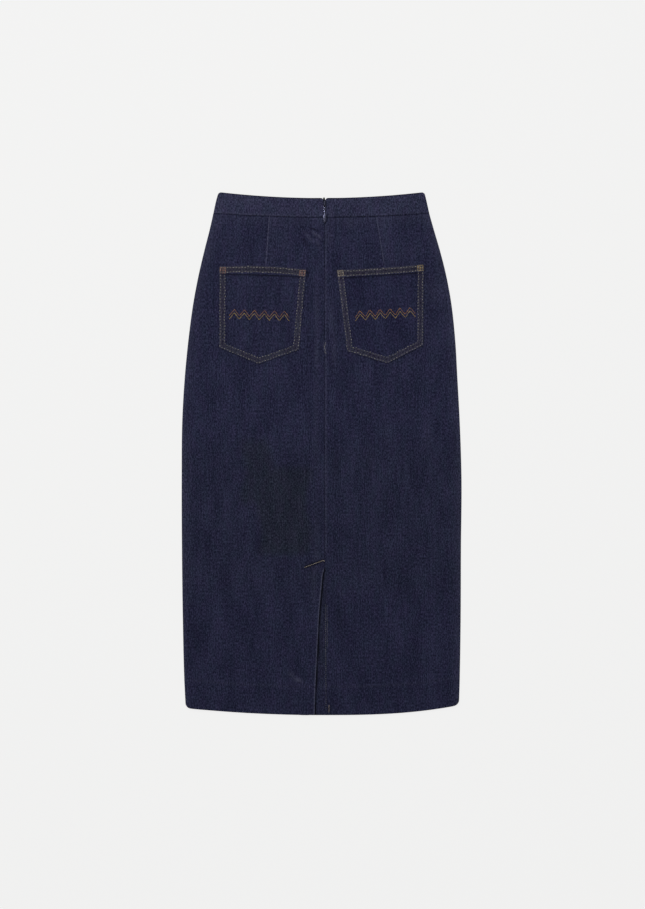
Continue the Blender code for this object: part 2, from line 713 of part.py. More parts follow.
def zip_seat(y):
    """Height of the top of the zip's tapes and chain, a gap under the cloth that covers them."""
    on_panel = back_top(CENTRE_BACK, np.minimum(y, seam_y(CENTRE_BACK))) - LIP - CLOTH
    on_band = band_top(CENTRE_BACK) - BAND
    return on_panel + (on_band - on_panel) * ease(seam_y(CENTRE_BACK) - y, 8 * MM) - SEAM_GAP


def zip_rows():
    """y of the rows of the tapes and the chain, from the slider down to just past the zip's end."""
    seam = float(seam_y(CENTRE_BACK))
    slider_end = SLIDER_Y - SLIDER_LENGTH / 2
    upper = [slider_end - 1 * MM, slider_end - 4 * MM, seam, seam - 8 * MM]
    lower = np.linspace(seam - 24 * MM, ZIP_END_Y - 4 * MM, 7)
    return np.concatenate([upper, lower])[:, None]


def zip_tapes(collection):
    """The two tapes, which meet above the slider and stand back from its body beside it."""
    slider_top = SLIDER_Y + SLIDER_LENGTH / 2
    above = [top_y(CENTRE_BACK) - TAPE_END, slider_top + SEAM_GAP, slider_top]
    y = np.concatenate([np.array(above)[:, None], zip_rows()])
    inner_edge = np.where(y > slider_top, SEAM_GAP / 2, TAPE_INNER)
    share = np.linspace(0, 1, 4)[None, :]
    top = zip_seat(y)
    for name, side in (("zip_tape_left", -1), ("zip_tape_right", 1)):
        x = CENTRE_BACK + side * (inner_edge + (TAPE_OUTER - inner_edge) * share)
        make_wall(name, grid(x, y, top), grid(x, y, top - TAPE_THICK), zip_tape(), collection)


def zip_chain(collection):
    """The closed coil, from the slider down to the zip's end, as one flat bar."""
    y = zip_rows()
    x = CENTRE_BACK + CHAIN_HALF * np.array([-1, -0.5, 0.5, 1])[None, :]
    crown = CHAIN_CROWN * np.array([1, 0, 0, 1])[None, :]
    top = zip_seat(y)
    make_wall("zip_chain", grid(x, y, top - crown), grid(x, y, top - CHAIN_THICK), zip_tape(), collection)


def zip_slider(collection, cutters):
    """A flange under the tapes, a narrow body in the gap between the band's ends, and an arch on top."""
    body_top = PULL_Z - BODY_UNDER_PIVOT
    height = body_top - FLANGE_Z
    flange_size = (FLANGE_WIDTH, SLIDER_LENGTH, FLANGE_THICK)
    flange = box_mesh(flange_size, (CENTRE_BACK, SLIDER_Y, FLANGE_Z), 0.15 * MM)
    body_size = (SLIDER_WIDTH, SLIDER_LENGTH - 0.8 * MM, height)
    body = box_mesh(body_size, (CENTRE_BACK, SLIDER_Y, FLANGE_Z + height / 2), 0.3 * MM)
    upright = Matrix(((0, 0, 1, 0), (1, 0, 0, 0), (0, 1, 0, 0), (0, 0, 0, 1)))
    turn = Matrix.Translation((CENTRE_BACK, SLIDER_Y, body_top)) @ upright
    outlines = [[(a * MM, b * MM) for a, b in outline] for outline in (ARCH, ARCH_HOLE)]
    arch = outline_mesh(outlines, ARCH_WIDTH, turn)
    slider = place("zip_slider", flange, zip_enamel(), collection)
    unite(slider, [body, arch], cutters)


def zip_pull(collection):
    """The drop-shaped tab. It turns on its cross-bar, which lies under the slider's arch."""
    turns = np.linspace(0, -math.pi, 13)
    tip = [(BELLY * math.cos(t), BELLY - PULL_LENGTH + BELLY * math.sin(t)) for t in turns]
    right = [(SHOULDER, BAR_HALF), (SHOULDER, -EYE_LENGTH - 1 * MM), (NECK, -EYE_LENGTH - 5 * MM)]
    left = [(-a, b) for a, b in reversed(right)]
    eye = [(-EYE_HALF, -BAR_HALF), (-EYE_HALF, -EYE_LENGTH), (EYE_HALF, -EYE_LENGTH), (EYE_HALF, -BAR_HALF)]
    mesh = outline_mesh([[*right, *tip, *left], eye], PULL_THICK, Matrix.Identity(4))
    pull = place("zip_pull", mesh, zip_enamel(), collection)
    pull.location = (CENTRE_BACK, PULL_Y, PULL_Z)


# ---- The skirt -----------------------------------------------------------------------------------------


def main():
    """Builds the skirt: the cloth from the floor up, then the zip."""
    for obj in list(bpy.data.objects):
        bpy.data.objects.remove(obj)
    collection = bpy.data.collections.new("denim_skirt")
    cutters = bpy.data.collections.new("cutters")
    bpy.context.scene.collection.children.link(collection)
    bpy.context.scene.collection.children.link(cutters)
    front_panel(collection)
    back_panels(collection)
    front_band(collection)
    back_band("band_back_left", -1, collection)
    back_band("band_back_right", 1, collection)
    for name in POCKETS:
        pocket(name, collection)
    zip_tapes(collection)
    zip_chain(collection)
    zip_slider(collection, cutters)
    zip_pull(collection)


main()
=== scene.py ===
# %% [markdown]
# # A denim pencil skirt, laid flat on its front
#
# The skirt lies with its back side up: two back panels, a waistband, two patch pockets, a hidden zip and a
# vent at the hem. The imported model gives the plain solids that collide. This file dresses them: each piece
# of cloth becomes a finer wall of the same form with its folds, seams and weave, and gets its sewing.
#
# Every shape here is worked out the same way: a grid of x and y, and a height for each point of it. All
# lengths are in millimetres, as a maker writes them, and become metres where a mesh is made.

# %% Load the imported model
import math
from types import SimpleNamespace

import bpy
import numpy as np
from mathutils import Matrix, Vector


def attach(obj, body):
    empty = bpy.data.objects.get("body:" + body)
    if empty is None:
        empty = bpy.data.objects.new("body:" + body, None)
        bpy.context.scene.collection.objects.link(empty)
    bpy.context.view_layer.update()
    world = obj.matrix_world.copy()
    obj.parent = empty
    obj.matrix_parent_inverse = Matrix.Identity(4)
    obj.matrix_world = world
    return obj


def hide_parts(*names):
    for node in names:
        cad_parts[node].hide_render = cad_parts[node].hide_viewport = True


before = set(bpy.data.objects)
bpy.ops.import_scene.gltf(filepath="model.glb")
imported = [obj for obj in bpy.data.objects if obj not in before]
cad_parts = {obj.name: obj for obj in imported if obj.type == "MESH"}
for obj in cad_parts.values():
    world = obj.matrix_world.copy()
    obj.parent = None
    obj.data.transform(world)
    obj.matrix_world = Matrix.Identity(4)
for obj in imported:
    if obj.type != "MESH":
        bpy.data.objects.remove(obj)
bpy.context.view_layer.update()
MM = 0.001

# %% [markdown]
# ## The outline
#
# A skirt that lies flat is narrow at the waist, widest at the thigh and a little narrower at the hem. A
# pattern maker writes that down as widths at a few heights and draws one smooth line through them. The hem
# and the waist are curves too: both hang lower in the middle than at the sides.

# %% The skirt's measures
WAIST_Y = 435.8  # the waist's top corners
HEM_Y = -435.2  # the hem in the middle
HEM_HALF = 225.6  # from the middle to a corner of the hem
SEAM_Y = 400.5  # the waistband's seam at the sides
CENTRE_BACK = 5.0
CLOTH = 1.0  # one layer
HEM_DEPTH = 46.0
SEAM_GAP = 0.3  # between two pieces that a seam joins
SIDE_ROLL = 5.5  # how far in from its side the skirt turns over

# below the waist, left half width and right half width
HALF_WIDTHS = np.array([
    (0, 171.6, 171.2), (17, 176.3, 175.3), (35, 180.2, 179.3), (63, 186.5, 187.1), (96, 194.8, 196.6),
    (130, 202.8, 205.3), (180, 212.6, 215.0), (246, 221.6, 222.4), (313, 228.1, 226.3), (380, 232.0, 229.9),
    (480, 233.1, 233.1), (596, 232.7, 232.2), (713, 231.2, 231.7), (813, 228.7, 230.1), (872, 225.6, 228.2),
])


# %% Lines of the outline
def smooth_line(knots, values, at):
    """A smooth line through a table's points.

    Between two knots it is the cubic a(1+2t)(1-t)^2 + m t(1-t)^2 + b t^2(3-2t) + n t^2(t-1), where m and n
    are the slopes that the neighbouring points give.
    """
    slopes = np.gradient(values, knots)
    piece = np.clip(np.searchsorted(knots, at) - 1, 0, len(knots) - 2)
    span = knots[piece + 1] - knots[piece]
    t = np.clip((at - knots[piece]) / span, 0, 1)
    start = values[piece] * (1 + 2 * t) * (1 - t) ** 2 + slopes[piece] * span * t * (1 - t) ** 2
    end = values[piece + 1] * t**2 * (3 - 2 * t) + slopes[piece + 1] * span * t**2 * (t - 1)
    return start + end


def ease(distance, reach):
    """1 up to distance 0, 0 from reach on, and 1 - t^2(3 - 2t) between."""
    t = np.clip(distance / reach, 0, 1)
    return 1 - t * t * (3 - 2 * t)


def near(distance, half, reach):
    """1 up to half on either side of a line, easing to 0 over the next reach."""
    return ease(np.abs(distance) - half, reach)


def half_width(y, side):
    """Half width of the skirt at y, on the left (-1) or the right (1)."""
    return smooth_line(HALF_WIDTHS[:, 0], HALF_WIDTHS[:, 1 if side < 0 else 2], WAIST_Y - y)


def hem_y(x):
    """y of the hem: it rises as the square of x on the left and as |x|^2.8 on the right."""
    share = np.abs(x) / HEM_HALF
    return HEM_Y + np.where(np.asarray(x) < 0, 11.6 * share**2, 16.2 * share**2.8)


def seam_y(x):
    """y of the waistband's seam, a parabola 6.7 mm deep."""
    return SEAM_Y - 6.7 * (1 - (x / 180.2) ** 2)


def top_y(x):
    """y of the waistband's top edge, a parabola 10 mm deep."""
    return WAIST_Y - 10 * (1 - (x / 171.6) ** 2)


def corner_cut(distance, radius):
    """What a round corner takes off a row: r - sqrt(r^2 - (r - distance)^2)."""
    inside = np.clip(radius - distance, 0, radius)
    return radius - np.sqrt(radius**2 - inside**2)


def side_row(v, side):
    """y at the side and half width of the panels' row v, from 0 at the hem to 1 at the band's seam."""
    corner = hem_y(side * HEM_HALF)
    y = corner * (1 - v) + SEAM_Y * v
    return y, half_width(y, side) - corner_cut(y - corner, 8)


def row_of(x, y):
    """The row v of the panels that passes through a point."""
    return (y - hem_y(x)) / (seam_y(x) - hem_y(x))


def side_distance(x, y):
    """How far a point lies in from the side edge of its row."""
    v = row_of(x, y)
    return np.where(x < 0, side_row(v, -1)[1], side_row(v, 1)[1]) - np.abs(x)


print("The hem is", round(float(half_width(HEM_Y, -1) + half_width(HEM_Y, 1))), "mm wide")

# %% [markdown]
# ## Heights of the cloth
#
# Flat cloth is still not flat. It lies higher where layers are hidden under it: hems, seam allowances, the
# zip, the folded cloth of a dart. Each of these is a plateau with soft slopes, and the height of the back is
# their sum. Only long soft rises are added so; lines that are sewn or pressed come in the next steps.

# %% Layers under the back panels
ON_FRONT = 2.4  # top of one layer that lies on the front
BAND_RISE = 1.8  # how much the back rises towards the waistband
ZIP_END = 176.0


def in_hem(x, y):
    """1 in the turned-up hem and 0 above it."""
    return ease(y - hem_y(x) - HEM_DEPTH, 3)


def near_band(x, y):
    """1 at the waistband's seam, 0 from 34 mm below it on."""
    return ease(seam_y(x) - y, 34)


def over_front(x, y):
    """Height of the top of one layer that lies on the front, with the hems of both under it."""
    return ON_FRONT + 2 * ease(y - hem_y(x) - HEM_DEPTH, 16)


VENT_Y = -190.0  # the centre back seam ends here
LAP_Y = -171.0  # top of the underlap
LAP_WIDTH = 31.0
LAP_SLANT = 0.37  # how steeply the underlap's top goes down, away from the centre

# below the top of the vent, how far its folded edge has swung away from the centre back
VENT_SWING = np.array([
    (0, 0.3), (8, 2.2), (37, 5.3), (70, 8.4), (104, 10.4), (137, 12.0), (170, 13.7), (204, 15.3), (246, 16.4),
])


def vent_edge_x(y):
    """The left panel's folded edge: on the centre back, then swinging out down the vent."""
    below = VENT_Y - y
    swing = smooth_line(*VENT_SWING.T, np.maximum(below, 0))
    return CENTRE_BACK - SEAM_GAP / 2 - np.where(below > 0, swing, 0)


def above_lap(y):
    """1 along the centre back seam, 0 from just above the underlap down."""
    return 1 - ease(y - LAP_Y - 2, 12)


def in_lap(x, y):
    """1 where the left panel covers the underlap, whose top slants down away from the centre."""
    across = CENTRE_BACK - x
    above_top = y - (LAP_Y - LAP_SLANT * np.clip(across, 0, LAP_WIDTH))
    return ease(above_top - 5, 8) * ease(across - LAP_WIDTH - 5, 8)


def near_zip(x):
    """1 over the zip's tapes, 0 from 23 mm beside the centre back on."""
    return near(x - CENTRE_BACK, 11, 12)


def allowance_height(y):
    """What lies under the centre back: the seam's allowances, 0.8 mm, and the zip, 0.5 mm more."""
    return 0.8 + 0.5 * ease(ZIP_END - y, 20)


# %% Darts
# side: x at the waistband's seam, x at the point
DARTS = {-1: (-87.2, -94.4), 1: (89.4, 104.8)}
DART_END = 308.0  # y of the darts' points


def dart_share(y, past=0.0):
    """How far up the dart y is, from 0 at its point, or a little past it, to 1 at the band's seam."""
    return np.clip((y - DART_END + past) / (SEAM_Y - DART_END), 0, 1)


def dart_x(side, y):
    """x of a dart's seam at y. Below its point the line goes straight down."""
    at_seam, at_point = DARTS[side]
    return at_seam + (at_point - at_seam) * (1 - dart_share(y))


def dart_rise(x, y, side):
    """The cloth a dart takes in lies folded on its inner side and lifts that side, less towards the point."""
    inward = -side * (x - dart_x(side, y))
    return 0.6 * dart_share(y) ** 0.7 * near(inward - 5, 1, 7)


# %% [markdown]
# ## Folds and creases placed one by one
#
# A crease is a long bell: exp(-across^2) over its width, fading out along it. A table gives each its place,
# direction and size, so that no two are alike. Positive ones are ridges, negative ones are troughs. Long wide
# ones are the fullness over the hips; short narrow ones are drag lines, where a seam holds the cloth back.

# %% Bells of cloth
# x, y, direction in degrees from +X, half length, half width, height
HIP_FOLDS = [
    (-24, 350, 122, 30, 10, 0.8), (38, 342, 62, 26, 10, 0.6), (-142, 20, 98, 90, 26, 1.0),
    (138, 6, 83, 95, 26, 0.9), (-96, -190, 88, 120, 32, 0.7), (104, -220, 92, 110, 30, 0.7),
]
DRAG_LINES = [
    # where the zip's stitches hold the cloth back, left of it
    (-10, 365.5, 142, 10, 1.9, 0.95), (-13, 374, 160, 9, 1.7, -0.75), (-3, 361.5, 120, 6, 1.6, 0.70),
    (-21, 361, 133, 15, 2.6, 0.55), (-27, 352, 122, 16, 3.0, -0.45), (-6, 350, 112, 12, 2.2, 0.45),
]
CREASES = [
    # pull lines right of it
    (19, 366, 48, 13, 3.4, 0.30), (25, 356, 60, 14, 3.6, -0.25),
    # the cloth gathers a little along the zip
    (13, 286, 91, 34, 2.6, 0.22), (19, 262, 88, 48, 3.0, -0.20), (-6, 244, 92, 40, 2.8, 0.20),
    (-12, 276, 89, 52, 3.4, -0.18), (24, 220, 90, 44, 3.2, 0.18),
    # and dimples where the zip ends
    (0, 182, 64, 9, 2.6, 0.45), (11, 178, 118, 10, 2.8, 0.40), (-5, 172, 38, 8, 2.6, -0.35),
    (15, 167, 140, 8, 2.8, -0.30),
    # the cloth hangs from the pockets' points
    (-104, 132, 96, 26, 6, 0.35), (-88, 128, 74, 22, 5, -0.25), (108, 134, 84, 24, 6, 0.30),
    (90, 128, 104, 20, 5, -0.25),
    # long shallow ones down the panels
    (-62, 60, 86, 80, 12, 0.45), (-176, -60, 94, 110, 16, 0.50), (-40, -90, 91, 70, 10, -0.35),
    (-128, -290, 87, 60, 12, 0.40), (58, 20, 95, 90, 13, 0.45), (172, -90, 85, 100, 15, 0.45),
    (44, -120, 88, 80, 11, -0.35), (134, -300, 93, 62, 12, 0.40), (72, -330, 80, 48, 9, -0.30),
    (-64, -340, 97, 46, 9, 0.30),
    # the vent's top is held by its stitches
    (-20, -158, 20, 16, 3.6, 0.45), (-34, -166, 28, 12, 3.2, -0.30), (14, -182, 82, 18, 3.0, 0.35),
]


def bells(x, y, folds):
    """Sum of height * exp(-1.5 (along/half length)^2 - (across/half width)^2) over a table of folds."""
    height = 0 * x
    for fold_x, fold_y, degrees, half_length, half_wide, peak in folds:
        turn = math.radians(degrees)
        along = (x - fold_x) * math.cos(turn) + (y - fold_y) * math.sin(turn)
        across = (y - fold_y) * math.cos(turn) - (x - fold_x) * math.sin(turn)
        height = height + peak * np.exp(-1.5 * (along / half_length) ** 2 - (across / half_wide) ** 2)
    return height


def unevenness(x, y):
    """Five slow waves that cross each other, together within 0.22 mm, as cloth lies after handling."""
    waves = (
        np.sin(x / 31 + 1.3 * np.sin(y / 90))
        + np.sin(x / 19 - y / 140 + 0.8)
        + np.sin(y / 47 + x / 110 + 2.1)
        + 0.7 * np.sin(y / 23 - x / 52 + 0.4)
        + 0.6 * np.sin(x / 11 + 1.7 * np.sin(y / 60 + 1.0))
    )
    return 0.05 * waves


# %% [markdown]
# ## Sewn lines
#
# A sewn line pulls the cloth down into a narrow groove, and the cloth beside it puckers: small bumps that
# follow the stitches, uneven in length. A groove is a narrow negative bell across the line; a pucker is a
# cosine along the line whose phase wanders, under a bell across it.


# %% Grooves and puckers
def line_mark(distance, half_wide):
    """exp(-(distance/half width)^2), a soft line."""
    return np.exp(-((distance / half_wide) ** 2))


def pucker(along, distance, height, pitch, reach):
    """height * cos(2 pi along/pitch + wander) * exp(-(distance/reach)^2)."""
    wander = 1.9 * np.sin(along / (3.1 * pitch)) + 1.1 * np.sin(along / (1.3 * pitch) + 2)
    return height * np.cos(2 * math.pi * along / pitch + wander) * line_mark(distance, reach)


def sewn_lines(x, y, side):
    """Grooves and puckers of the band's seam, the centre back, the dart, the side and the hem."""
    from_centre = np.abs(x - CENTRE_BACK)
    centre = pucker(y, from_centre - 3, 0.10, 11, 4) + 0.22 * line_mark(from_centre - 2.4, 1.3)
    height = pucker(x, seam_y(x) - y, 0.16, 8.5, 5) + centre * above_lap(y)
    from_dart = x - dart_x(side, y)
    dart = pucker(y, from_dart, 0.10, 9, 4) - 0.42 * line_mark(from_dart, 0.75)
    height = height + dart * dart_share(y, past=4) ** 0.5
    from_side = side_distance(x, y)
    pressed = 0.10 * line_mark(from_side - 15, 2.5) * (1 - near_band(x, y))
    height = height + pucker(y, from_side - 6, 0.12, 13, 6) - pressed
    from_hemline = y - hem_y(x) - HEM_DEPTH
    return height + pucker(x, from_hemline, 0.12, 14, 6) - 0.22 * line_mark(from_hemline, 1.4)


# %% The back's height
def back_height(x, y, side):
    """Height of the back's outer face before it turns over at the sides: layers, folds and sewn lines."""
    x, y = np.broadcast_arrays(np.asarray(x, float), np.asarray(y, float))
    seamed = near_band(x, y)
    from_side = side_distance(x, y)
    layers = over_front(x, y) + allowance_height(y) * above_lap(y) * near_zip(x) + dart_rise(x, y, side)
    side_allowances = 1.2 * (1 - 0.6 * seamed) * ease(from_side - 16, 13)
    layers = layers + BAND_RISE * seamed + side_allowances
    free = (1 - 0.7 * in_lap(x, y)) * ease(8 - from_side, 12)
    slack = (bells(x, y, HIP_FOLDS) + unevenness(x, y)) * (1 - seamed)
    tight = bells(x, y, CREASES + DRAG_LINES) * ease(8 - seam_y(x) + y, 6)
    return layers + (slack + tight) * free + sewn_lines(x, y, side)


def back_thickness(x, y, side):
    """One layer of cloth, two in the hem, and the vent's facing under the left panel."""
    thick = CLOTH * (1 + in_hem(x, y))
    if side > 0:
        return thick
    faced = 2 * CLOTH + 0.6 * in_hem(x, y)
    return thick + (faced - thick) * in_lap(x, y)


def back_face(x, y, side):
    """Outer face of one back panel. Over the underlap the left one lies on the right one."""
    height = back_height(x, y, side)
    edge = CENTRE_BACK
    if side < 0:
        edge = vent_edge_x(y)
        over = over_front(x, y) + SEAM_GAP + back_thickness(x, y, side)
        over = over + 0.25 * line_mark(x - edge + 2.2, 1.6) + pucker(y, x - edge, 0.08, 16, 6)
        height = height + (over - height) * in_lap(x, y)
    return height - 0.35 * near(x - edge, 0, 2.5) * above_lap(y)


probe = np.array([60, 150])
print("The back's height at mid length, in mm:", np.round(back_height(probe, 0, 1), 2).tolist())

# %% [markdown]
# ## A wall of cloth
#
# Cloth has two faces and an edge. Both faces are grids of the same size, so the wall is those two grids and
# a rim of quads along every edge that belongs to one cell only. That also works when cells are left out. A
# UV map called grain carries the cloth's own directions in metres, across and along the warp, so that the
# weave follows each piece as it was cut. One attribute holds wear and painted highlights as positive values
# and painted shade as negative ones; the other marks where the cloth is tinted, which on the underlap is
# painted shade.


# %% Grids to meshes
def grid(x, y, z):
    """Points in rows and columns from x, y and z that are numbers, rows, columns or grids."""
    return np.stack(np.broadcast_arrays(x, y, z), axis=-1)


def new_piece(name, points, faces, grain=None, **marks):
    """A smooth-shaded object from points in mm and faces, with a UV map in metres and marks on its points."""
    mesh = bpy.data.meshes.new(name)
    mesh.from_pydata(np.asarray(points) * MM, [], faces)
    mesh.shade_smooth()
    mesh.set_sharp_from_angle(angle=math.radians(55))
    if grain is not None:
        corner = np.zeros(len(mesh.loops), np.int32)
        mesh.loops.foreach_get("vertex_index", corner)
        mesh.uv_layers.new(name="grain").data.foreach_set("uv", grain[corner].astype(np.float32).ravel())
    for mark, values in marks.items():
        layer = mesh.attributes.new(mark, "FLOAT", "POINT")
        layer.data.foreach_set("value", np.asarray(values, np.float32))
    piece = bpy.data.objects.new(name, mesh)
    bpy.context.scene.collection.objects.link(piece)
    return piece


def signed_volume(points, quads):
    """Sum over the quads' two triangles of a . (b x c) / 6: it is positive if the faces look outwards."""
    a, b, c, d = (points[quads[:, k]] for k in range(4))
    return float(np.sum(a * (np.cross(b, c) + np.cross(c, d))) / 6)


def cloth_wall(name, outer, inner, grain=None, cells=None, worn=0.0, shaded=0.0):
    """A closed wall between an outer and an inner grid. cells says which of the grid's cells there are.

    The grain is the outer grid's own x and y, unless another one is given.
    """
    rows, columns = outer.shape[:2]
    number = np.arange(rows * columns).reshape(rows, columns)
    quads = np.stack([number[:-1, :-1], number[:-1, 1:], number[1:, 1:], number[1:, :-1]], axis=-1)
    quads = quads.reshape(-1, 4) if cells is None else quads[cells]
    edges = np.concatenate([quads[:, [k, (k + 1) % 4]] for k in range(4)])
    key = edges.min(axis=1) * rows * columns + edges.max(axis=1)
    first, times = np.unique(key, return_index=True, return_counts=True)[1:]
    start, end = edges[first[times == 1]].T
    under = rows * columns
    rim = np.stack([end, start, start + under, end + under], axis=-1)
    faces = np.concatenate([quads, quads[:, ::-1] + under, rim])
    points = np.concatenate([outer.reshape(-1, 3), inner.reshape(-1, 3)])
    used, faces = np.unique(faces, return_inverse=True)
    faces = faces.reshape(-1, 4)
    points = points[used]
    if signed_volume(points, faces) < 0:
        faces = faces[:, ::-1]
    grain = outer[..., :2] if grain is None else grain
    cut = np.concatenate([grain.reshape(-1, 2)] * 2)[used]
    twice = [np.concatenate([np.broadcast_to(v, outer.shape[:2]).ravel()] * 2)[used] for v in (worn, shaded)]
    piece = new_piece(name, points, faces, cut * MM, worn=twice[0], shaded=twice[1])
    print(f"{name}: {2 * len(faces)} triangles")
    return piece


def columns_between(knots, counts):
    """Columns of x between given ones: counts tells how many cells lie between each two of them."""
    parts = [knots[0]]
    for start, end, count in zip(knots, knots[1:], counts):
        parts.append(start + (end - start) * np.arange(1, count + 1)[None, :] / count)
    return np.concatenate(parts, axis=1)


def rows_between(stops, spacings):
    """Rows between given stops, at about the given spacing in each stretch."""
    parts = [[stops[0]]]
    for start, end, spacing in zip(stops, stops[1:], spacings):
        count = max(1, round((end - start) / spacing))
        parts.append(start + (end - start) * np.arange(1, count + 1) / count)
    return np.concatenate(parts)


# %% Turn a wall over at its sides
ROLL = np.radians(np.arange(0, 90, 11.25))


def loft(halves, flat, thickness, faces, shape):
    """The outer and inner grids of a wall that turns over as a quarter circle at one side or at both.

    Its columns are the first side's roll, the flat ones, and the other side's roll; halves gives the half
    width at each of those sides. faces says which face each grid is, 1 for the upper and -1 for the lower.
    shape gives y, the height of the side seam and the height of that face. Over a roll, z goes from the
    seam's height to the face's as the sine of the roll's angle, and the face keeps its height from the roll's
    inner end.
    """
    turn = 1 - np.cos(ROLL)
    lift = np.concatenate([np.sin(ROLL), np.ones(flat.shape[1]), *[np.sin(ROLL[::-1])] * (len(halves) - 1)])
    grids = []
    for face, inward in zip(faces, (SIDE_ROLL * turn, thickness + (SIDE_ROLL - thickness) * turn)):
        rolls = [side * (half - inward) for side, half in halves.items()]
        x = np.concatenate([rolls[0], flat, *[roll[:, ::-1] for roll in rolls[1:]]], axis=1)
        held = np.clip(x, flat.min(axis=1, keepdims=True), flat.max(axis=1, keepdims=True))
        y, seam, height = shape(x, held, face)
        grids.append(grid(x, y, seam + (height - seam) * lift))
    return grids


def side_seam(x, y):
    """Height of the side seam of the front: 1.45 mm, and 1.15 mm more at the hem and at the waistband."""
    return 1.45 + 1.15 * np.maximum(in_hem(x, y), near_band(x, y))


def rounded(distance, thickness):
    """The share of the thickness left near a folded edge: half a circle."""
    t = np.clip(distance / (thickness / 2), 0, 1)
    return np.maximum(np.sqrt(1 - (1 - t) ** 2), 0.25)


# %% [markdown]
# ## The two back panels
#
# Each is one loft from its rolled side edge to the centre back. The rows are shares of the height, so they
# bend with the hem at the bottom and with the seam at the top; they are closest together where the cloth is
# sewn. The right panel runs on under the left one below the top of the vent, as its underlap.

# %% Rows and columns of the panels
LENGTH = SEAM_Y - HEM_Y
LAP_ROW = float(row_of(CENTRE_BACK, LAP_Y)) * LENGTH
PANEL_ROWS = rows_between(
    [0, 0.8, 2.8, 7, 41, 52, LAP_ROW - 34, LAP_ROW, LAP_ROW + 16, 715, 803, LENGTH - 2, LENGTH],
    [0.27, 0.5, 1.4, 3, 1.0, 3.1, 1.9, 1.8, 3.1, 1.8, 1.2, 0.5],
) / LENGTH
LAP_COLUMNS = 15  # the right panel's last columns, which are its underlap


def back_columns(side, y, start):
    """x of a back panel's flat columns, from the rolled side edge past the dart to the centre back."""
    knots = [start] + [dart_x(side, y) - side * inward for inward in (-8, -1.6, 1.6, 14)]
    if side < 0:
        edge = vent_edge_x(y)
        knots += [CENTRE_BACK - d + 0 * y for d in (48, 20)]
        knots += [edge + (knots[-1] - edge) * share for share in (0.16, 0.03, 0)]
        return columns_between(knots, [38, 4, 8, 7, 9, 18, 12, 6, 3])
    knots += [CENTRE_BACK + d + 0 * y for d in (24, 11, 3, 0.8, SEAM_GAP / 2, -8, 2 - LAP_WIDTH, -LAP_WIDTH)]
    return columns_between(knots, [36, 4, 8, 7, 16, 6, 6, 5, 3, 4, 8, 3])


def panel_y(x, v):
    """y of the panels' row v: it goes from the hem at 0 to the waistband's seam at 1."""
    return hem_y(x) * (1 - v) + seam_y(x) * v


def slant_underlap(x, y):
    """y with the underlap's rows tilted to its slanting top, and level again well above the hem."""
    across = np.clip(CENTRE_BACK - x, 0, LAP_WIDTH)
    level = HEM_Y + 2 * HEM_DEPTH
    return y - LAP_SLANT * across * np.clip((y - level) / (LAP_Y - level), 0, 1)


# %% Wear, painted light and shade, and tinted cloth
# spots painted paler and darker, as wear and as painted highlight and shade: x, y, direction in degrees,
# half length, half width, and how much
PANEL_SPOTS_OF_WEAR_AND_LIGHT = [
    # the dark one at (-23, 301) is painted shadow right of the left pocket's top corner
    (-39, -377, 158, 8, 2.6, 1.75), (-50, -368, 130, 7, 3.2, 0.85), (-21, -205, 90, 15, 9.0, 0.16),
    (13, 360, 92, 22, 5.0, 0.35), (33, -234, 175, 6, 2.4, 0.60), (-23.0, 301, 84, 9, 1.5, -1.2),
    (-6, -168, 120, 10, 4.0, 0.20), (150, 338, 20, 30, 8.0, 0.12), (-150, 352, 160, 30, 10.0, 0.12),
    (4.8, 178, 98, 9, 1.9, 1.7), (0.5, 256, 30, 3, 1.6, 0.60),
    # painted highlights on the crests of soft folds and painted shade between them: first those between the
    # pockets
    (-8.0, 225, 91, 85, 5.0, 0.24), (-21, 205, 90, 60, 5.0, -0.22), (2, 215, 90, 50, 3.5, -0.12),
    (20, 215, 95, 62, 6.0, 0.24), (30, 205, 95, 60, 4.0, -0.18), (13.5, 222, 90, 30, 3.0, 0.26),
    (-8.5, 165, 90, 26, 3.5, 0.34), (-1.8, 165, 90, 22, 1.9, -0.42), (20, 165, 90, 26, 4.2, 0.34),
    (41, 245, 96, 34, 7.0, 0.30), (-8, 236, 90, 40, 5.0, 0.14), (-37, 225, 90, 30, 4.0, -0.20),
    # then those where the pockets lie
    (124, 190, 90, 44, 9.0, 0.26), (77, 245, 90, 22, 8.0, -0.16), (141, 268, 95, 26, 8.0, 0.26),
    (-92, 252, 90, 24, 8.0, -0.16), (70, 262, 90, 12, 9.0, 0.22),
    # and those on the rest of the panels
    (-9.0, 60, 90, 90, 5.0, 0.24), (-22, 60, 90, 55, 5.0, -0.20), (-12, -215, 88, 75, 5.5, 0.30),
    (-9, -120, 90, 40, 5.0, 0.24), (189, 272, 102, 30, 14.0, 0.24), (176, 30, 90, 32, 8.0, 0.20),
    (80, -12, 90, 34, 8.0, 0.14), (108, 32, 92, 26, 7.0, 0.16), (-188, 335, 78, 22, 10.0, 0.20),
    (-174, 379, 80, 10, 8.0, 0.22), (14, 396, 90, 9, 5.0, 0.26), (48, 382, 92, 14, 7.0, 0.20),
    (24, -20, 90, 30, 7.0, -0.42), (-60, 352, 88, 26, 9.0, 0.16), (-134, 62, 90, 30, 8.0, -0.15),
    (-210, -295, 90, 32, 8.0, -0.20), (31, -272, 86, 38, 8.0, -0.36), (-56, -257, 90, 34, 6.0, -0.18),
    (106, -77, 92, 20, 9.0, -0.14),
    # and painted shade beside the bar at the hem, and painted shadow right of the pull
    (9.4, -424.5, 92, 6, 0.9, -0.8), (15.2, -424.5, 92, 6, 1.0, -1.0), (8.7, 393, 93, 6, 0.9, -1.7),
    (7.3, 386, 68, 5, 0.9, -1.9),
]
SLANT = [(-28.8, -189.2), (4.2, -177.2)]  # the stitches that hold the vent's top


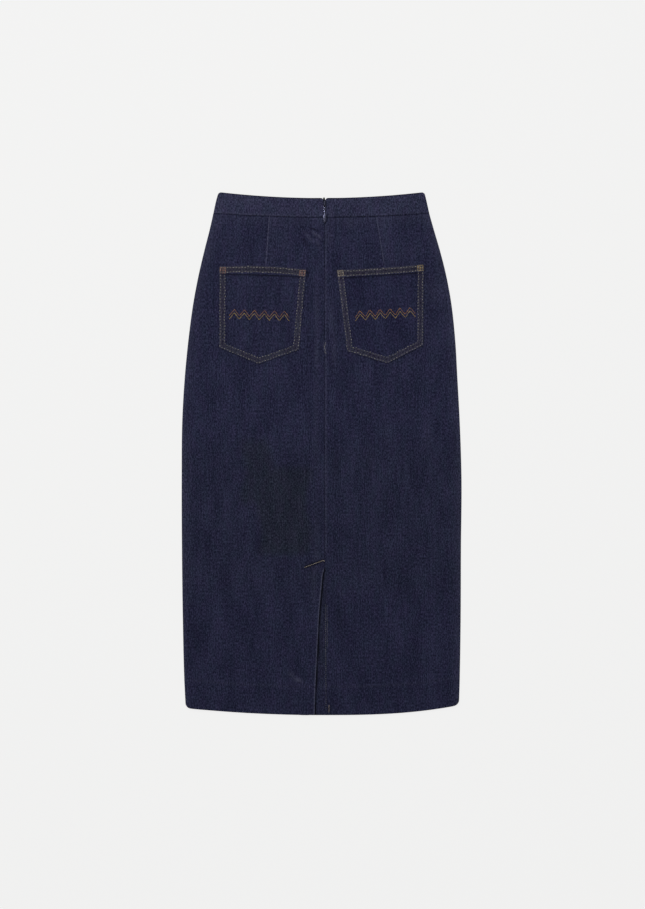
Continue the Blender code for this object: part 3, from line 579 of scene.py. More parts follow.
def slant_worn(x, y):
    """Painted shade: dark lines above and below the slanting stitches, where they pull the cloth in."""
    (left, low), (right, high) = SLANT
    rise = (high - low) / (right - left)
    above = (y - low - rise * (x - left)) / math.hypot(1, rise)
    sunk = 1.7 * line_mark(above - 1.5, 0.9) + 1.5 * line_mark(above + 1.5, 0.9)
    return -sunk * near(x - (left + right) / 2, 15, 2)


def back_worn(x, y, side):
    """Painted highlights and spots of wear (positive), and painted shade and shadow (negative), on a back
    panel.
    """
    # the spots, and painted highlight on the drag lines' ridges with painted shade in their troughs
    worn = bells(x, y, PANEL_SPOTS_OF_WEAR_AND_LIGHT) + 1.35 * bells(x, y, DRAG_LINES)
    from_dart = x - dart_x(side, y)
    # painted highlight along one side of the dart and a soft one beyond, painted shade on its other side
    dart = (1.9 if side < 0 else 1.1) * line_mark(from_dart - 0.7, 0.7)
    dart = dart + 0.14 * line_mark(from_dart - 9, 9) - 0.4 * line_mark(from_dart + 0.9, 0.8)
    worn = worn + np.clip((y - DART_END + 2) / 20, 0, 1) * dart
    below_seam = seam_y(x) - y
    # painted shade in the band's seam, and painted light on the panel under it and along the top of the hem
    worn = worn - 0.75 * line_mark(below_seam - 0.5, 0.8) + 0.20 * line_mark(below_seam - 3, 1.6)
    worn = worn + 0.15 * ease(below_seam - 9, 15) + 0.17 * line_mark(y - hem_y(x) - HEM_DEPTH - 2, 2.6)
    from_side = side_distance(x, y)
    high_up = ease(-250 - y, 30) if side < 0 else 1.0
    # painted highlight along the sides, where the cloth turns over
    worn = worn + 0.25 * ease(from_side - 3, 6) + 0.17 * ease(from_side - 8, 14) * high_up
    beside = x - vent_edge_x(y)
    in_vent = ease(y - VENT_Y + 4, 4)
    if side < 0:
        # painted highlight on the vent's folded edge, and painted shade beside the slanting stitches
        return worn + 2.3 * line_mark(beside + 1.0, 0.8) * in_vent + slant_worn(x, y)
    # painted highlight on the right lip of the centre back, and painted shadow right of the vent's folded
    # edge
    ridge = 0.60 * line_mark(x - CENTRE_BACK - 2.2, 1.2) * above_lap(y)
    return worn + ridge - 2.6 * line_mark(beside - 1.1, 1.1) * in_vent


def back_shaded(x, y, side):
    """A soft smudge with one arm beside the centre back, the seat, and the underlap, which sees no light."""
    swayed = x + 5 * np.sin(y / 17)
    patch = near(swayed + 63, 33, 20) * near(y + 95, 62, 24)
    arm = near(swayed + 108, 14, 22) * near(y + 32, 42, 26)
    patch = np.maximum(patch, 0.85 * arm)
    seat = 0.2 * near(y + 110, 95, 60)  # where the cloth is sat on
    if side < 0:
        return np.maximum(0.97 * patch, seat)
    underlap = 0.5 * ease(x - 8, 2) * ease(y - VENT_Y, 6) * (1 - 0.7 * ease(y + 400, 60))
    return np.maximum(0.45 * patch + underlap, seat)


# %% Make the back panels
def back_panel(name, side):
    """x from the columns, y from the rows, and z from the height of the back, turned over at the side.

    The left one's hem rises by 1.3 mm beside the vent. A folded edge is rounded to a blunt half circle.
    """
    v = PANEL_ROWS[:, None]
    side_y, half = side_row(v, side)
    side_x = side * half
    thickness = CLOTH * (1 + in_hem(side_x, side_y))
    centre_y = side_y + (hem_y(CENTRE_BACK) - hem_y(side_x)) * (1 - v)
    flat = back_columns(side, centre_y, side * (half - SIDE_ROLL))

    def shape(x, held, face):
        y = panel_y(x, v)
        y = slant_underlap(x, y) if side > 0 else y + 1.3 * (1 - ease(x + 25, 15)) * (1 - v) ** 24
        thick = back_thickness(held, y, side)
        edge = vent_edge_x(y) if side < 0 else CENTRE_BACK - LAP_WIDTH * (y < LAP_Y)
        fold = rounded(y - hem_y(x), 2 * CLOTH) * np.maximum(rounded(np.abs(x - edge), thick), 0.45)
        height = back_face(held, y, side) - thick / 2 * (1 - face * fold)
        return y, side_seam(side_x, side_y) + SEAM_GAP, height

    outer, inner = loft({side: half}, flat, thickness, (1, -1), shape)
    cells = np.ones((outer.shape[0] - 1, outer.shape[1] - 1), bool)
    if side > 0:
        cells[PANEL_ROWS[:-1] * LENGTH > LAP_ROW - 0.01, -LAP_COLUMNS:] = False
    x, y = outer[..., 0], outer[..., 1]
    marks = {"worn": back_worn(x, y, side), "shaded": back_shaded(x, y, side)}
    return cloth_wall(name, outer, inner, cells=cells, **marks)


back_left = back_panel("back_left_cloth", -1)
back_right = back_panel("back_right_cloth", 1)

# %% [markdown]
# ## The front panel
#
# It lies face down, so its outer face is the flat underside. It is one wall from side seam to side seam,
# turned up at both, with its own two darts pressed in as shallow grooves and a few troughs where the cloth
# doesn't touch the table. They all go up into the cloth, so that the skirt still rests on a plane.

# %% Make the front panel
FRONT_TROUGHS = [
    (-92, 352, 84, 34, 1.2, 0.30), (96, 352, 96, 34, 1.2, 0.30),  # the darts
    (-150, 110, 96, 70, 12, 0.26), (148, 90, 84, 76, 12, 0.26), (-60, -60, 88, 90, 10, 0.24),
    (70, -40, 93, 84, 10, 0.24), (-120, -260, 91, 70, 12, 0.22), (110, -270, 87, 66, 12, 0.22),
    (12, 250, 90, 60, 9, 0.18), (6, -180, 92, 110, 11, 0.20),
]


def front_panel():
    """z is 0 under the front and one layer above it inside; both turn up to the side seams as a sine."""
    v = rows_between([0, 0.8, 7, LENGTH - 30, LENGTH], [0.27, 1.6, 6, 4])[:, None] / LENGTH
    left_y, left = side_row(v, -1)
    right = side_row(v, 1)[1]
    knots = [SIDE_ROLL - left, -93 + 0 * v, 96 + 0 * v, right - SIDE_ROLL]
    flat = columns_between(knots, [24, 34, 24])

    def shape(x, held, face):
        y = panel_y(x, v)
        fold = rounded(y - hem_y(x), 2 * CLOTH)
        height = CLOTH * (1 + in_hem(x, y)) / 2 * (1 + face * fold) + bells(x, y, FRONT_TROUGHS)
        return y, side_seam(x, y), height

    thickness = CLOTH * (1 + in_hem(-left, left_y))
    return cloth_wall("front_cloth", *loft({-1: left, 1: right}, flat, thickness, (-1, 1), shape))


front = front_panel()

# %% [markdown]
# ## The waistband
#
# The band is stiffened and smooth. Its rows are shares between the seam and the top edge, and its columns
# run from the side seam to the zip, where each end opens round the slider and has a round corner.

# %% Lines of the waistband
BAND = 2.4  # thickness
BAND_FACE = 5.2  # height of the back band's outer face
BAND_SIDE = 2.6  # height of the front band's side seam
BAND_ROWS = np.array([0, 0.012, 0.03, 0.06, *np.linspace(0.1, 0.9, 14), 0.93, 0.955, 0.975, 0.988, 0.996, 1])
BAND_ROWS = BAND_ROWS[:, None]
BELOW_TOP = (1 - BAND_ROWS) * (WAIST_Y - SEAM_Y)
BAND_FOLD = rounded(BELOW_TOP, BAND)
SLIDER_Y = 416.9
SLIDER_TOP = SLIDER_Y + 5
SLIDER_END = SLIDER_Y - 5
SLIDER_ROOM = 1.65  # how far the cloth and the tapes stand back on each side of the slider


def band_y(x):
    """y of the band's rows, a gap above the panels."""
    return (seam_y(x) + SEAM_GAP) * (1 - BAND_ROWS) + top_y(x) * BAND_ROWS


def band_half(side):
    """Half width of the band's rows, with the waist's corner rounded."""
    y = SEAM_Y + SEAM_GAP + (WAIST_Y - SEAM_Y - SEAM_GAP) * BAND_ROWS
    return half_width(y, side) - corner_cut(BELOW_TOP, 4.5)


def band_end(side):
    """How far each row's end stands from the centre back: it opens round the slider, with a round corner."""
    y = band_y(CENTRE_BACK)
    corner = corner_cut(top_y(CENTRE_BACK) - y, 4.9 if side < 0 else 3.8)
    return SEAM_GAP / 2 + SLIDER_ROOM * ease(SLIDER_END - y, 7) + corner


def band_face(x, y):
    """Height of the back band: two layers, the zip under its ends, and the seam's soft ridge."""
    above_seam = y - seam_y(x)
    ridge = 0.25 * line_mark(above_seam - 2.4, 1.5) - 0.55 * ease(above_seam - 0.3, 1.8)
    slow = np.sin(x / 21 + 0.7) + 0.8 * np.sin(x / 13 - y / 50)
    height = BAND_FACE + 1.4 * near_zip(x) + ridge + 0.05 * slow
    return height + pucker(x, above_seam - 2, 0.07, 9, 5)


# spots painted paler and darker on the band, as wear and as painted light: x, y, direction in degrees, half
# length, half width, and how much; the two dark ones right of the zip are painted shadow beside the pull
BAND_SPOTS_OF_WEAR_AND_LIGHT = [
    (-172, 412, 80, 18, 9.0, 0.48), (-130, 421, 170, 44, 8.0, 0.22), (-40, 408, 175, 50, 7.0, 0.12),
    (60, 414, 5, 50, 8.0, 0.10), (150, 420, 10, 30, 8.0, 0.12), (7.4, 408.5, 90, 5, 0.9, -1.4),
    (8.8, 395, 90, 4, 0.9, -1.6), (15, 402, 90, 9, 4.5, 0.34),
]


def band_worn(x, y):
    """Painted highlight along the ridge above the seam and just under the top edge, painted shade in the seam
    and on that edge, and the band's spots of wear and light.
    """
    above_seam = y - seam_y(x)
    below_top = top_y(x) - y
    ridge = 0.55 * line_mark(above_seam - 2.2, 1.3) * (0.45 + 0.55 * ease(x + 60, 120))
    top = 0.22 * line_mark(below_top - 3.8, 1.6) - 0.7 * ease(below_top - 0.9, 1.4)
    return ridge - 1.15 * line_mark(above_seam + 0.2, 0.8) + top + bells(x, y, BAND_SPOTS_OF_WEAR_AND_LIGHT)


# %% Make the waistband
def back_band(name, side):
    """One half of the back waistband, turned over at the side seam as the panels are."""
    half = band_half(side)
    start = side * (half - SIDE_ROLL)
    end = CENTRE_BACK + side * band_end(side)
    near_end = end + (start - end) * 0.02
    flat = columns_between([start, start + (near_end - start) * 0.86, near_end, end], [66, 18, 6])

    def shape(x, held, face):
        y = band_y(x)
        fold = BAND_FOLD * np.maximum(rounded(np.abs(x - end), BAND), 0.4)
        return y, BAND_SIDE + SEAM_GAP, band_face(held, y) - BAND / 2 * (1 - face * fold)

    outer, inner = loft({side: half}, flat, BAND + 0 * half, (1, -1), shape)
    return cloth_wall(name, outer, inner, worn=band_worn(outer[..., 0], outer[..., 1]))


def front_band():
    """The front waistband in one piece, lying face down, its top edge drawn down by 3.2 mm at the zip."""
    left, right = band_half(-1), band_half(1)
    knots = [SIDE_ROLL - left, CENTRE_BACK - 12 + 0 * left, CENTRE_BACK + 12 + 0 * left, right - SIDE_ROLL]
    flat = columns_between(knots, [42, 24, 40])

    def shape(x, held, face):
        dip = 3.2 * np.exp(-(((x - CENTRE_BACK) / 5) ** 4)) * BAND_ROWS
        return band_y(x) - dip, BAND_SIDE, BAND / 2 * (1 + face * BAND_FOLD)

    return cloth_wall("band_front_cloth", *loft({-1: left, 1: right}, flat, BAND + 0 * left, (-1, 1), shape))


band_left = back_band("band_back_left_cloth", -1)
band_right = back_band("band_back_right_cloth", 1)
band_front = front_band()

# %% [markdown]
# ## The patch pockets
#
# A patch pocket has five corners: it is cut with a point at the bottom. Its sides are turned in and its top
# is hemmed, so it is two layers thick round the edge and nearly three along the top. Sewn by hand, no two are
# quite the same, so each has its own corners and its own slight arch along the top. It lies on the panel: its
# height is the panel's height under each of its points plus its own thickness, and it bellies in the middle.

# %% The pockets' corners
# the panel that it is on; how far its top edge arches, and how deep its hem is, from the straight line
# between the top corners; and its corners: top left, bottom left, point, bottom right, top right
POCKETS = {
    "pocket_left": SimpleNamespace(
        side=-1, arch=3.8, hem=12,
        corners=np.array([(-170.4, 312.0), (-170.9, 177.0), (-104.8, 149.0), (-37.3, 173.2), (-25.5, 307.0)]),
    ),
    "pocket_right": SimpleNamespace(
        side=1, arch=-0.8, hem=14,
        corners=np.array([(25.0, 306.4), (42.0, 170.8), (110.0, 150.3), (169.5, 180.7), (170.3, 316.0)]),
    ),
}
ROWS_IN = (1.8, 9.4)  # the two rows of stitches, in from the sides and the bottom
HEM_ROWS_IN = (3.0, 10.7)  # and in from the top
TURNED_IN = 10.5  # how wide the turned edges are
EDGE_GRID = [0, 0.3, 0.9, 3, 7.5, 14]  # from the edge, where the grid's spacing changes


def pocket_point(name, across, down):
    """A point from across (-1 to 1) and down (0 to 1): top + (bottom - top) * down.

    The top runs from corner to corner plus arch * (1 - across^2); the bottom runs from the left corner to the
    point and on to the right corner.
    """
    corners = POCKETS[name].corners
    top_x, top_line = (np.interp(across, (-1, 1), corners[[0, 4], k]) for k in (0, 1))
    low_x, low_line = (np.interp(across, (-1, 0, 1), corners[1:4, k]) for k in (0, 1))
    top_line = top_line + POCKETS[name].arch * (1 - across**2)
    return top_x + (low_x - top_x) * down, top_line + (low_line - top_line) * down


def edge_distances(name, x, y):
    """How far a point lies in from the nearer side, from the nearest side or bottom edge and from the top
    edge, and how far below the hem.

    The distance from a line through a with direction e is e.x (y - a.y) - e.y (x - a.x).
    """
    pattern = POCKETS[name]
    inside = []
    for (ax, ay), (bx, by) in zip(pattern.corners, np.roll(pattern.corners, -1, axis=0)):
        inside.append(((bx - ax) * (y - ay) - (by - ay) * (x - ax)) / math.hypot(bx - ax, by - ay))
    left, low_left, low_right, right, top = inside
    across = (left - right) / (left + right)
    from_side = np.minimum(left, right)
    from_edge = np.minimum(from_side, np.minimum(low_left, low_right))
    return from_side, from_edge, top + pattern.arch * (1 - across**2), top - pattern.hem


def along_top(name):
    """The middle of the straight line between the top corners, and its direction."""
    corners = POCKETS[name].corners
    along = corners[4] - corners[0]
    return (corners[0] + corners[4]) / 2, along / math.hypot(*along)


def place_on_back(name, a, b):
    """x and y of a point that lies a along the top edge from its middle and b above it."""
    middle, along = along_top(name)
    return middle[0] + a * along[0] - b * along[1], middle[1] + a * along[1] + b * along[0]


def pocket_thickness(name, x, y):
    """One layer inside, two round the edge, nearly three in the hem, and a groove under each row."""
    from_edge, from_top, below_hem = edge_distances(name, x, y)[1:]
    thick = 1 + ease(from_edge - TURNED_IN, 1.6)
    thick = thick + (2.8 - thick) * ease(below_hem + 0.8, 1.6)
    for inset, from_line in zip((*ROWS_IN, *HEM_ROWS_IN), (from_edge, from_edge, from_top, from_top)):
        thick = thick - 0.24 * line_mark(from_line - inset, 0.9)
    inside = np.minimum(from_edge, from_top)
    thick = thick + pucker(x + 0.7 * y, inside - 5, 0.11, 6.2, 3.4) * line_mark(inside - 5.3, 2.4)
    belly = np.clip((from_edge - 12) / 30, 0, 1) * np.clip((from_top - 16) / 24, 0, 1)
    creases = np.sin(x / 17 + 1.2 * np.sin(y / 40)) + 0.7 * np.sin(y / 24 + x / 35)
    return thick + belly * (0.55 + 0.14 * creases)


def under_pocket(name, x, y):
    """Height of a pocket's under side: a hair above the panel."""
    return back_face(x, y, POCKETS[name].side) + 0.12


def pocket_face(name):
    """The height of a pocket's outer face as a function of x and y."""
    return lambda x, y: under_pocket(name, x, y) + pocket_thickness(name, x, y)


# %% Make the pockets
def pocket_worn(name, x, y):
    """Paler between and beside the rows of stitches, with a painted highlight along the edges, and painted
    shade below the hem and inside the turned edge.
    """
    from_side, from_edge, from_top, below_hem = edge_distances(name, x, y)
    # painted shadow under the hem's fold
    shadow_under_hem = line_mark(below_hem - 0.8, 1.5) * ease(6 - from_side, 5)
    # painted shade inside the turned edge, where the cloth steps down to one layer
    beside = line_mark(from_edge - 11.4, 1.1) * (below_hem > 0)
    paler_along_rows = line_mark(from_top - HEM_ROWS_IN[0], 1.6) + line_mark(from_top - HEM_ROWS_IN[1], 1.8)
    for row, shift in zip(ROWS_IN, (0.5, -0.5)):
        paler_along_rows = paler_along_rows + 0.8 * line_mark(from_edge - row - shift, 1.9)
    fading = 0.66 if name == "pocket_right" else 0.52 - 0.14 * ease(-98 - x, 40)
    # painted highlight along the folded edges
    edge = 0.4 * ease(np.minimum(from_edge, from_top) - 0.8, 1.0)
    return edge + fading * paler_along_rows - 0.65 * shadow_under_hem - 0.3 * beside


def pocket_shaded(name, x, y):
    """1 in the band between the hem's two rows, and 0.7 between those of the sides and the bottom."""
    from_edge, from_top = edge_distances(name, x, y)[1:3]
    hem = ease(from_top - 10.5, 1.2) * ease(1.9 - from_top, 1.0)
    return np.maximum(hem, 0.7 * ease(from_edge - 8.8, 1.2) * ease(1.9 - from_edge, 1.0))


def pocket(name):
    """The wall of a pocket, on a grid that is finest along its edges, its hem and its stitches."""
    wide, tall = 146, 160
    edge = rows_between(EDGE_GRID, [0.15, 0.3, 0.55, 0.9, 0.8])
    top = rows_between([*EDGE_GRID, 19], [0.15, 0.3, 0.55, 0.9, 0.45, 0.5])
    middle = rows_between([14, wide / 2, wide - 14], [1.9, 1.9])[1:-1]
    across = np.concatenate([edge, middle, wide - edge[::-1]])
    down = np.concatenate([top, rows_between([19, tall - 14], [1.9])[1:-1], tall - edge[::-1]])
    x, y = pocket_point(name, across[None, :] / wide * 2 - 1, down[:, None] / tall)
    inside = np.minimum(*edge_distances(name, x, y)[1:3])
    rim = np.sqrt(1 - (1 - np.clip(inside / 0.9, 0, 1)) ** 2)
    under = under_pocket(name, x, y)
    outer = grid(x, y, under + pocket_thickness(name, x, y) * (0.35 + 0.65 * rim))
    along = along_top(name)[1]
    grain = np.stack([x * along[0] + y * along[1], y * along[0] - x * along[1]], axis=-1)
    marks = {"worn": pocket_worn(name, x, y), "shaded": pocket_shaded(name, x, y)}
    return cloth_wall(name + "_cloth", outer, grid(x, y, under), grain, **marks)


pockets = {name: pocket(name) for name in POCKETS}

# %% [markdown]
# ## Stitches
#
# A lockstitch shows as a row of short thick threads that dive into the cloth at both ends. One stitch is a
# small bent capsule: rings of six points along an arc, closed by a point at each end. There are more than a
# thousand, so each has only thirty faces, and all the stitches of one seam are made at once as one mesh.


# %% From a sewing line to threads
def along_line(line, pitch, cover):
    """Starts and ends of stitches at even steps along a line of points: each covers a share of its step."""
    line = np.asarray(line, float)
    run = np.concatenate([[0], np.cumsum(np.hypot(*np.diff(line, axis=0).T))])
    count = max(1, round(run[-1] / pitch))
    step = run[-1] / count
    mids = (np.arange(count) + 0.5) * step
    ends = []
    for half in (-cover / 2 * step, cover / 2 * step):
        ends.append(np.stack([np.interp(mids + half, run, line[:, k]) for k in (0, 1)], axis=-1))
    return ends


RINGS = np.array([0.07, 0.3, 0.7, 0.93])  # where a stitch's rings are along it
RING_SIZE = np.array([0.62, 1.0, 1.0, 0.62])


def stitch_faces():
    """Faces of one capsule: a point, four rings of six and a point."""
    around = np.arange(6)
    after = (around + 1) % 6
    faces = [(0, 1 + j, 1 + i) for i, j in zip(around, after)]
    for ring in range(3):
        low = 1 + 6 * ring
        faces += [(low + i, low + j, low + 6 + j, low + 6 + i) for i, j in zip(around, after)]
    return faces + [(25, 19 + i, 19 + j) for i, j in zip(around, after)]


def thread(name, ends, surface, radius=0.27, proud=0.20, seed=1, uneven=0.10, spread=0.17):
    """All the stitches of a seam.

    Each point is the stitch's middle line plus radius * (cos turn * sideways + sin turn * up). The middle
    line lies on the surface plus an arc, proud in the middle and sunk in at both ends. uneven is how far
    stitches stray sideways, and spread is how much they differ in thickness.
    """
    chance = np.random.default_rng(seed)
    starts, ends = np.asarray(ends)
    count = len(starts)
    ahead = ends - starts
    length = np.hypot(*ahead.T)[:, None]
    sideways = np.stack([-ahead[:, 1], ahead[:, 0]], axis=-1) / length
    wander = chance.normal(0, uneven, (count, 1))
    along = np.concatenate([[0], RINGS, [1]])[None, :, None]
    flat = starts[:, None, :] + ahead[:, None, :] * along + (sideways * wander)[:, None, :]
    arc = proud * (1 - (2 * along[..., 0] - 1) ** 2) - 0.10
    middle = np.concatenate([flat, (surface(flat[..., 0], flat[..., 1]) + arc)[..., None]], axis=-1)
    turn = np.radians(np.arange(6) * 60 + 30)
    size = radius * RING_SIZE[None, :, None] * chance.uniform(0.98 - spread, 0.98 + spread, (count, 1, 1))
    rings = np.repeat(middle[:, 1:-1, None, :], 6, axis=2)
    rings[..., :2] += sideways[:, None, None, :] * (np.cos(turn) * size)[..., None]
    rings[..., 2] += np.sin(turn) * size
    points = np.concatenate([middle[:, :1], rings.reshape(count, 24, 3), middle[:, -1:]], axis=1)
    u = np.concatenate([[0], np.tile(np.arange(6) / 6, 4), [0]])[None, :] + chance.uniform(0, 9, (count, 1))
    v = np.concatenate([[0], np.repeat(RINGS, 6), [1]])[None, :] * length * MM
    template = stitch_faces()
    faces = [tuple(26 * k + i for i in face) for k in range(count) for face in template]
    print(f"{name}: {count} stitches")
    return new_piece(name, points.reshape(-1, 3), faces, np.stack([u, v], axis=-1).reshape(-1, 2))


# %% [markdown]
# ## Sewing on the pockets
#
# Two rows run down one side, along the point and up the other, and two more along the hem. A row's corner
# lies given distances f and s in from its two edges, whose normals are n and m: it is the pocket's corner
# plus ((f - s n.m) n + (s - f n.m) m) / (1 - (n.m)^2). The top corners are held by dense tacks.


# %% Lines of the pocket's stitches
def moved_in(corner, before, after, first, second):
    """A corner moved in by first from the edge before it and by second from the edge after it."""
    both = float(before @ after)
    return corner + ((first - second * both) * before + (second - first * both) * after) / (1 - both**2)


def pocket_row(name, inset):
    """Five corners of the row at an inset: from the top down the left side, round the point and up."""
    corners = POCKETS[name].corners
    edges = np.roll(corners, -1, axis=0) - corners
    normals = np.stack([-edges[:, 1], edges[:, 0]], axis=-1) / np.hypot(*edges.T)[:, None]
    insets = [inset, inset, inset, inset, HEM_ROWS_IN[0]]
    row = [moved_in(corners[k], normals[k - 1], normals[k], insets[k - 1], insets[k]) for k in range(5)]
    return np.array(row)


def hem_row(name, inset):
    """The row at an inset under the arched top edge, from side to side."""
    x, y = pocket_point(name, np.linspace(-0.978, 0.978, 25), 0)
    return np.stack([x, y - inset], axis=-1)


def zigzag(line, pitch, wide):
    """Starts and ends of a dense zigzag along a line: it crosses from one side to the other at each step."""
    start, end = np.array(line)
    length = math.hypot(*(end - start))
    count = round(length / pitch)
    step = np.arange(count + 1)[:, None]
    across = np.array([start[1] - end[1], end[0] - start[0]]) / length * wide / 2
    points = start + (end - start) * step / count + across * np.where(step % 2, 1, -1)
    return points[:-1], points[1:]


def tack_lines(name, side):
    """A tack in a top corner: three upright bars and three level ones, woven into a small block."""
    corners = POCKETS[name].corners
    out = math.hypot(*(corners[4] - corners[0])) / 2 - 2
    lines = [[(side * (out - d), -1.4), (side * (out - d - 0.4), -11.2)] for d in (0, 4.3, 8.4)]
    lines += [[(side * (out + 0.6), -d), (side * (out - 9), -d)] for d in (2.2, 6.3, 10.4)]
    return [[place_on_back(name, a, b) for a, b in line] for line in lines]


# %% Sew the pockets
def joined(pairs):
    """Starts and ends of several sewing lines as one pair of arrays."""
    return [np.concatenate(part) for part in zip(*pairs)]


pocket_threads = {}
for number, name in enumerate(POCKETS):
    face = pocket_face(name)
    lines = joined([along_line(pocket_row(name, inset), 4.9, 0.50) for inset in ROWS_IN])
    sides = thread(name + "_rows", lines, face, 0.53, 0.34, number, uneven=0.45, spread=0.38)
    lines = joined([along_line(hem_row(name, inset), 4.9, 0.53) for inset in HEM_ROWS_IN])
    hems = thread(name + "_hem_rows", lines, face, 0.57, 0.34, number + 3, uneven=0.45, spread=0.38)
    pocket_threads[name] = [sides, hems]
    for side, end in ((-1, "_tack_left"), (1, "_tack_right")):
        lines = joined([zigzag(line, 0.62, 1.8) for line in tack_lines(name, side)])
        tack = thread(name + end, lines, face, 0.27, 0.40, number + 5 - side, uneven=0.30)
        pocket_threads[name].append(tack)

# %% [markdown]
# ## A plain line of decorative stitching
#
# Each pocket carries a band of decorative stitching in thick thread. Here it is two parallel zigzag rows, the
# oldest and plainest such trim, one in each of two colours.


# %% Stitch the zigzag rows
def zigzag_row(name, middle, drop, wide, high, peaks):
    """Corner points of a zigzag about a level, as wide and high as given."""
    step = np.arange(2 * peaks + 1)
    a = middle + wide * (step / (2 * peaks) - 0.5)
    b = drop + high / 2 * np.where(step % 2, 1, -1)
    return np.stack(place_on_back(name, a, b), axis=-1)


for number, (name, middle) in enumerate((("pocket_left", -3), ("pocket_right", 3))):
    for k, drop in enumerate((-76, -81.5)):
        stitches = along_line(zigzag_row(name, middle, drop, 100, 11, 6), 2.4, 0.9)
        row = thread(f"{name}_zigzag_{k}", stitches, pocket_face(name), 0.38, 0.26, 20 + number + 2 * k)
        pocket_threads[name].append(row)

# %% [markdown]
# ## Sewing at the vent and the hem
#
# The top of the underlap is held by a slanting row that shows on the left panel. The underlap's own edge is
# stitched in dark thread. The hem is sewn blind: only a tiny prick of thread shows every few millimetres.


# %% Stitch the vent
def left_face(x, y):
    """Height of the left back panel."""
    return back_face(x, y, -1)


def right_face(x, y):
    """Height of the right back panel."""
    return back_face(x, y, 1)


slant_line = [*SLANT, (SLANT[1][0] + 0.6, SLANT[1][1] - 2.2)]
vent_stitches = thread("vent_slant_stitches", along_line(slant_line, 2.8, 0.94), left_face, 0.42, seed=31)

edge_lines = []
for x, first, last in ((6.8, -250, -424), (9.7, -252, -322)):
    y = np.linspace(first, last, 60)
    edge_lines.append(along_line(np.stack([x - 0.006 * (y + 330), y], axis=-1), 3.4, 0.62))
edge_stitches = thread("vent_edge_stitches", joined(edge_lines), right_face, 0.33, seed=32)

bar_line = [(12.4, -418.5), (12.0, -430.5)]
hem_tack = thread("vent_hem_tack", zigzag(bar_line, 0.8, 2.4), right_face, 0.24, seed=33)

# a short end of thread that has worked out of the centre seam
loose_line = [(7.2, 186), (6.5, 182), (4.6, 179), (4.4, 175.5), (6.6, 172.5), (4.9, 170), (7.6, 167)]
loose_ends = along_line(loose_line, 2.3, 0.85)
loose_thread = thread("seam_loose_thread", loose_ends, right_face, 0.42, 0.3, 36, uneven=0.45, spread=0.4)


# %% Sew the hem
def hem_pricks(side, start, end):
    """Tiny stitches along the hem's sewing line, every 6.5 mm and a little uneven."""
    chance = np.random.default_rng(40 + side)
    x = np.arange(start, end, 6.5)
    x = x + chance.normal(0, 0.5, x.shape)
    y = hem_y(x) + HEM_DEPTH + 0.4 + chance.normal(0, 0.35, x.shape)
    starts = np.stack([x, y], axis=-1)
    return starts, starts + np.array([1.1, 0.35])


hem_threads = [
    thread("hem_pricks_left", hem_pricks(-1, -212, -22), left_face, 0.2, 0.16, seed=34),
    thread("hem_pricks_right", hem_pricks(1, 20, 214), right_face, 0.2, 0.16, seed=35),
]

# %% [markdown]
# ## The zip
#
# It is a hidden zip: two woven tapes and a coil lie under the cloth, and only the slider and its pull show
# at the top. The tapes are thin walls, the coil is a row of small loops, and the pull is a drop-shaped tab
# whose cross-section is a rounded rectangle that grows and shrinks along it.


# %% Tapes and coil
def zip_seat(y):
    """Height of the top of the tapes: a gap under the cloth on the panels, rising to the band's level."""
    on_panel = ON_FRONT + BAND_RISE * near_band(CENTRE_BACK, y) + allowance_height(y) - 1.35
    return on_panel + (4.2 - on_panel) * ease(seam_y(CENTRE_BACK) - y, 8) - SEAM_GAP


def zip_tape(name, side):
    """A tape's wall: flat across, following the seat along, its inner edge back from the slider."""
    y = rows_between([172, 396, SLIDER_TOP, SLIDER_TOP + 0.3, 423.3], [3, 1.2, 0.3, 0.7])[:, None]
    inner = np.where(y > SLIDER_TOP + 0.1, 0.15, SLIDER_ROOM)
    share = np.linspace(0, 1, 17)[None, :]
    x = CENTRE_BACK + side * (inner + (12 - inner) * share)
    ribs = 0.04 * (np.cos(2 * math.pi * share * 8) - 1)
    return cloth_wall(name, grid(x, y, zip_seat(y) + ribs), grid(x, y, zip_seat(y) - 0.5))


tape_left = zip_tape("zip_tape_left_woven", -1)
tape_right = zip_tape("zip_tape_right_woven", 1)

coil_y = np.arange(173, SLIDER_END - 1, 1.15)
coil_ends = [np.stack([CENTRE_BACK + s * 1.25 + 0 * coil_y, coil_y + s * 0.2], axis=-1) for s in (-1, 1)]
coil = thread("zip_coil", coil_ends, lambda x, y: zip_seat(y) - 0.55, 0.3, 0.1, seed=50)

# above the slider the coil's last loops stand up, and lean a little to the left
tip_y = np.arange(420.6, 426.4, 0.78)
lean = np.clip((tip_y - 421.5) / 1.5, 0, 1)
tip_ends = [CENTRE_BACK + s * (1.3 + 0.55 * lean) - 0.4 - 0.6 * lean for s in (-1, 1)]
tip_ends = [np.stack([tip_x, tip_y], axis=-1) for tip_x in tip_ends]
tips = thread("zip_coil_tips", tip_ends, lambda x, y: zip_seat(y) + 0.1, 0.52, 0.5, 51, uneven=0.04)

# %% The pull
PIVOT_Y, PIVOT_Z = 414.25, 7.6  # the hinge's axis
EYE_WIRE = 0.38  # half the thickness of the ring that hangs on the slider

# down from the pivot, half width of the tab
TAB_WIDTHS = np.array([
    (3.6, 1.5), (4.6, 1.8), (7, 1.75), (10, 1.45), (13.5, 1.25), (17, 2.05), (19.5, 2.4), (22, 2.25),
    (25.5, 2.0), (28.5, 1.5), (30, 0.05),
])


def blunt(wave, power):
    """A sine or cosine raised to a power below 1, with its sign kept, which squares off a round."""
    return np.sign(wave) * np.abs(wave) ** power


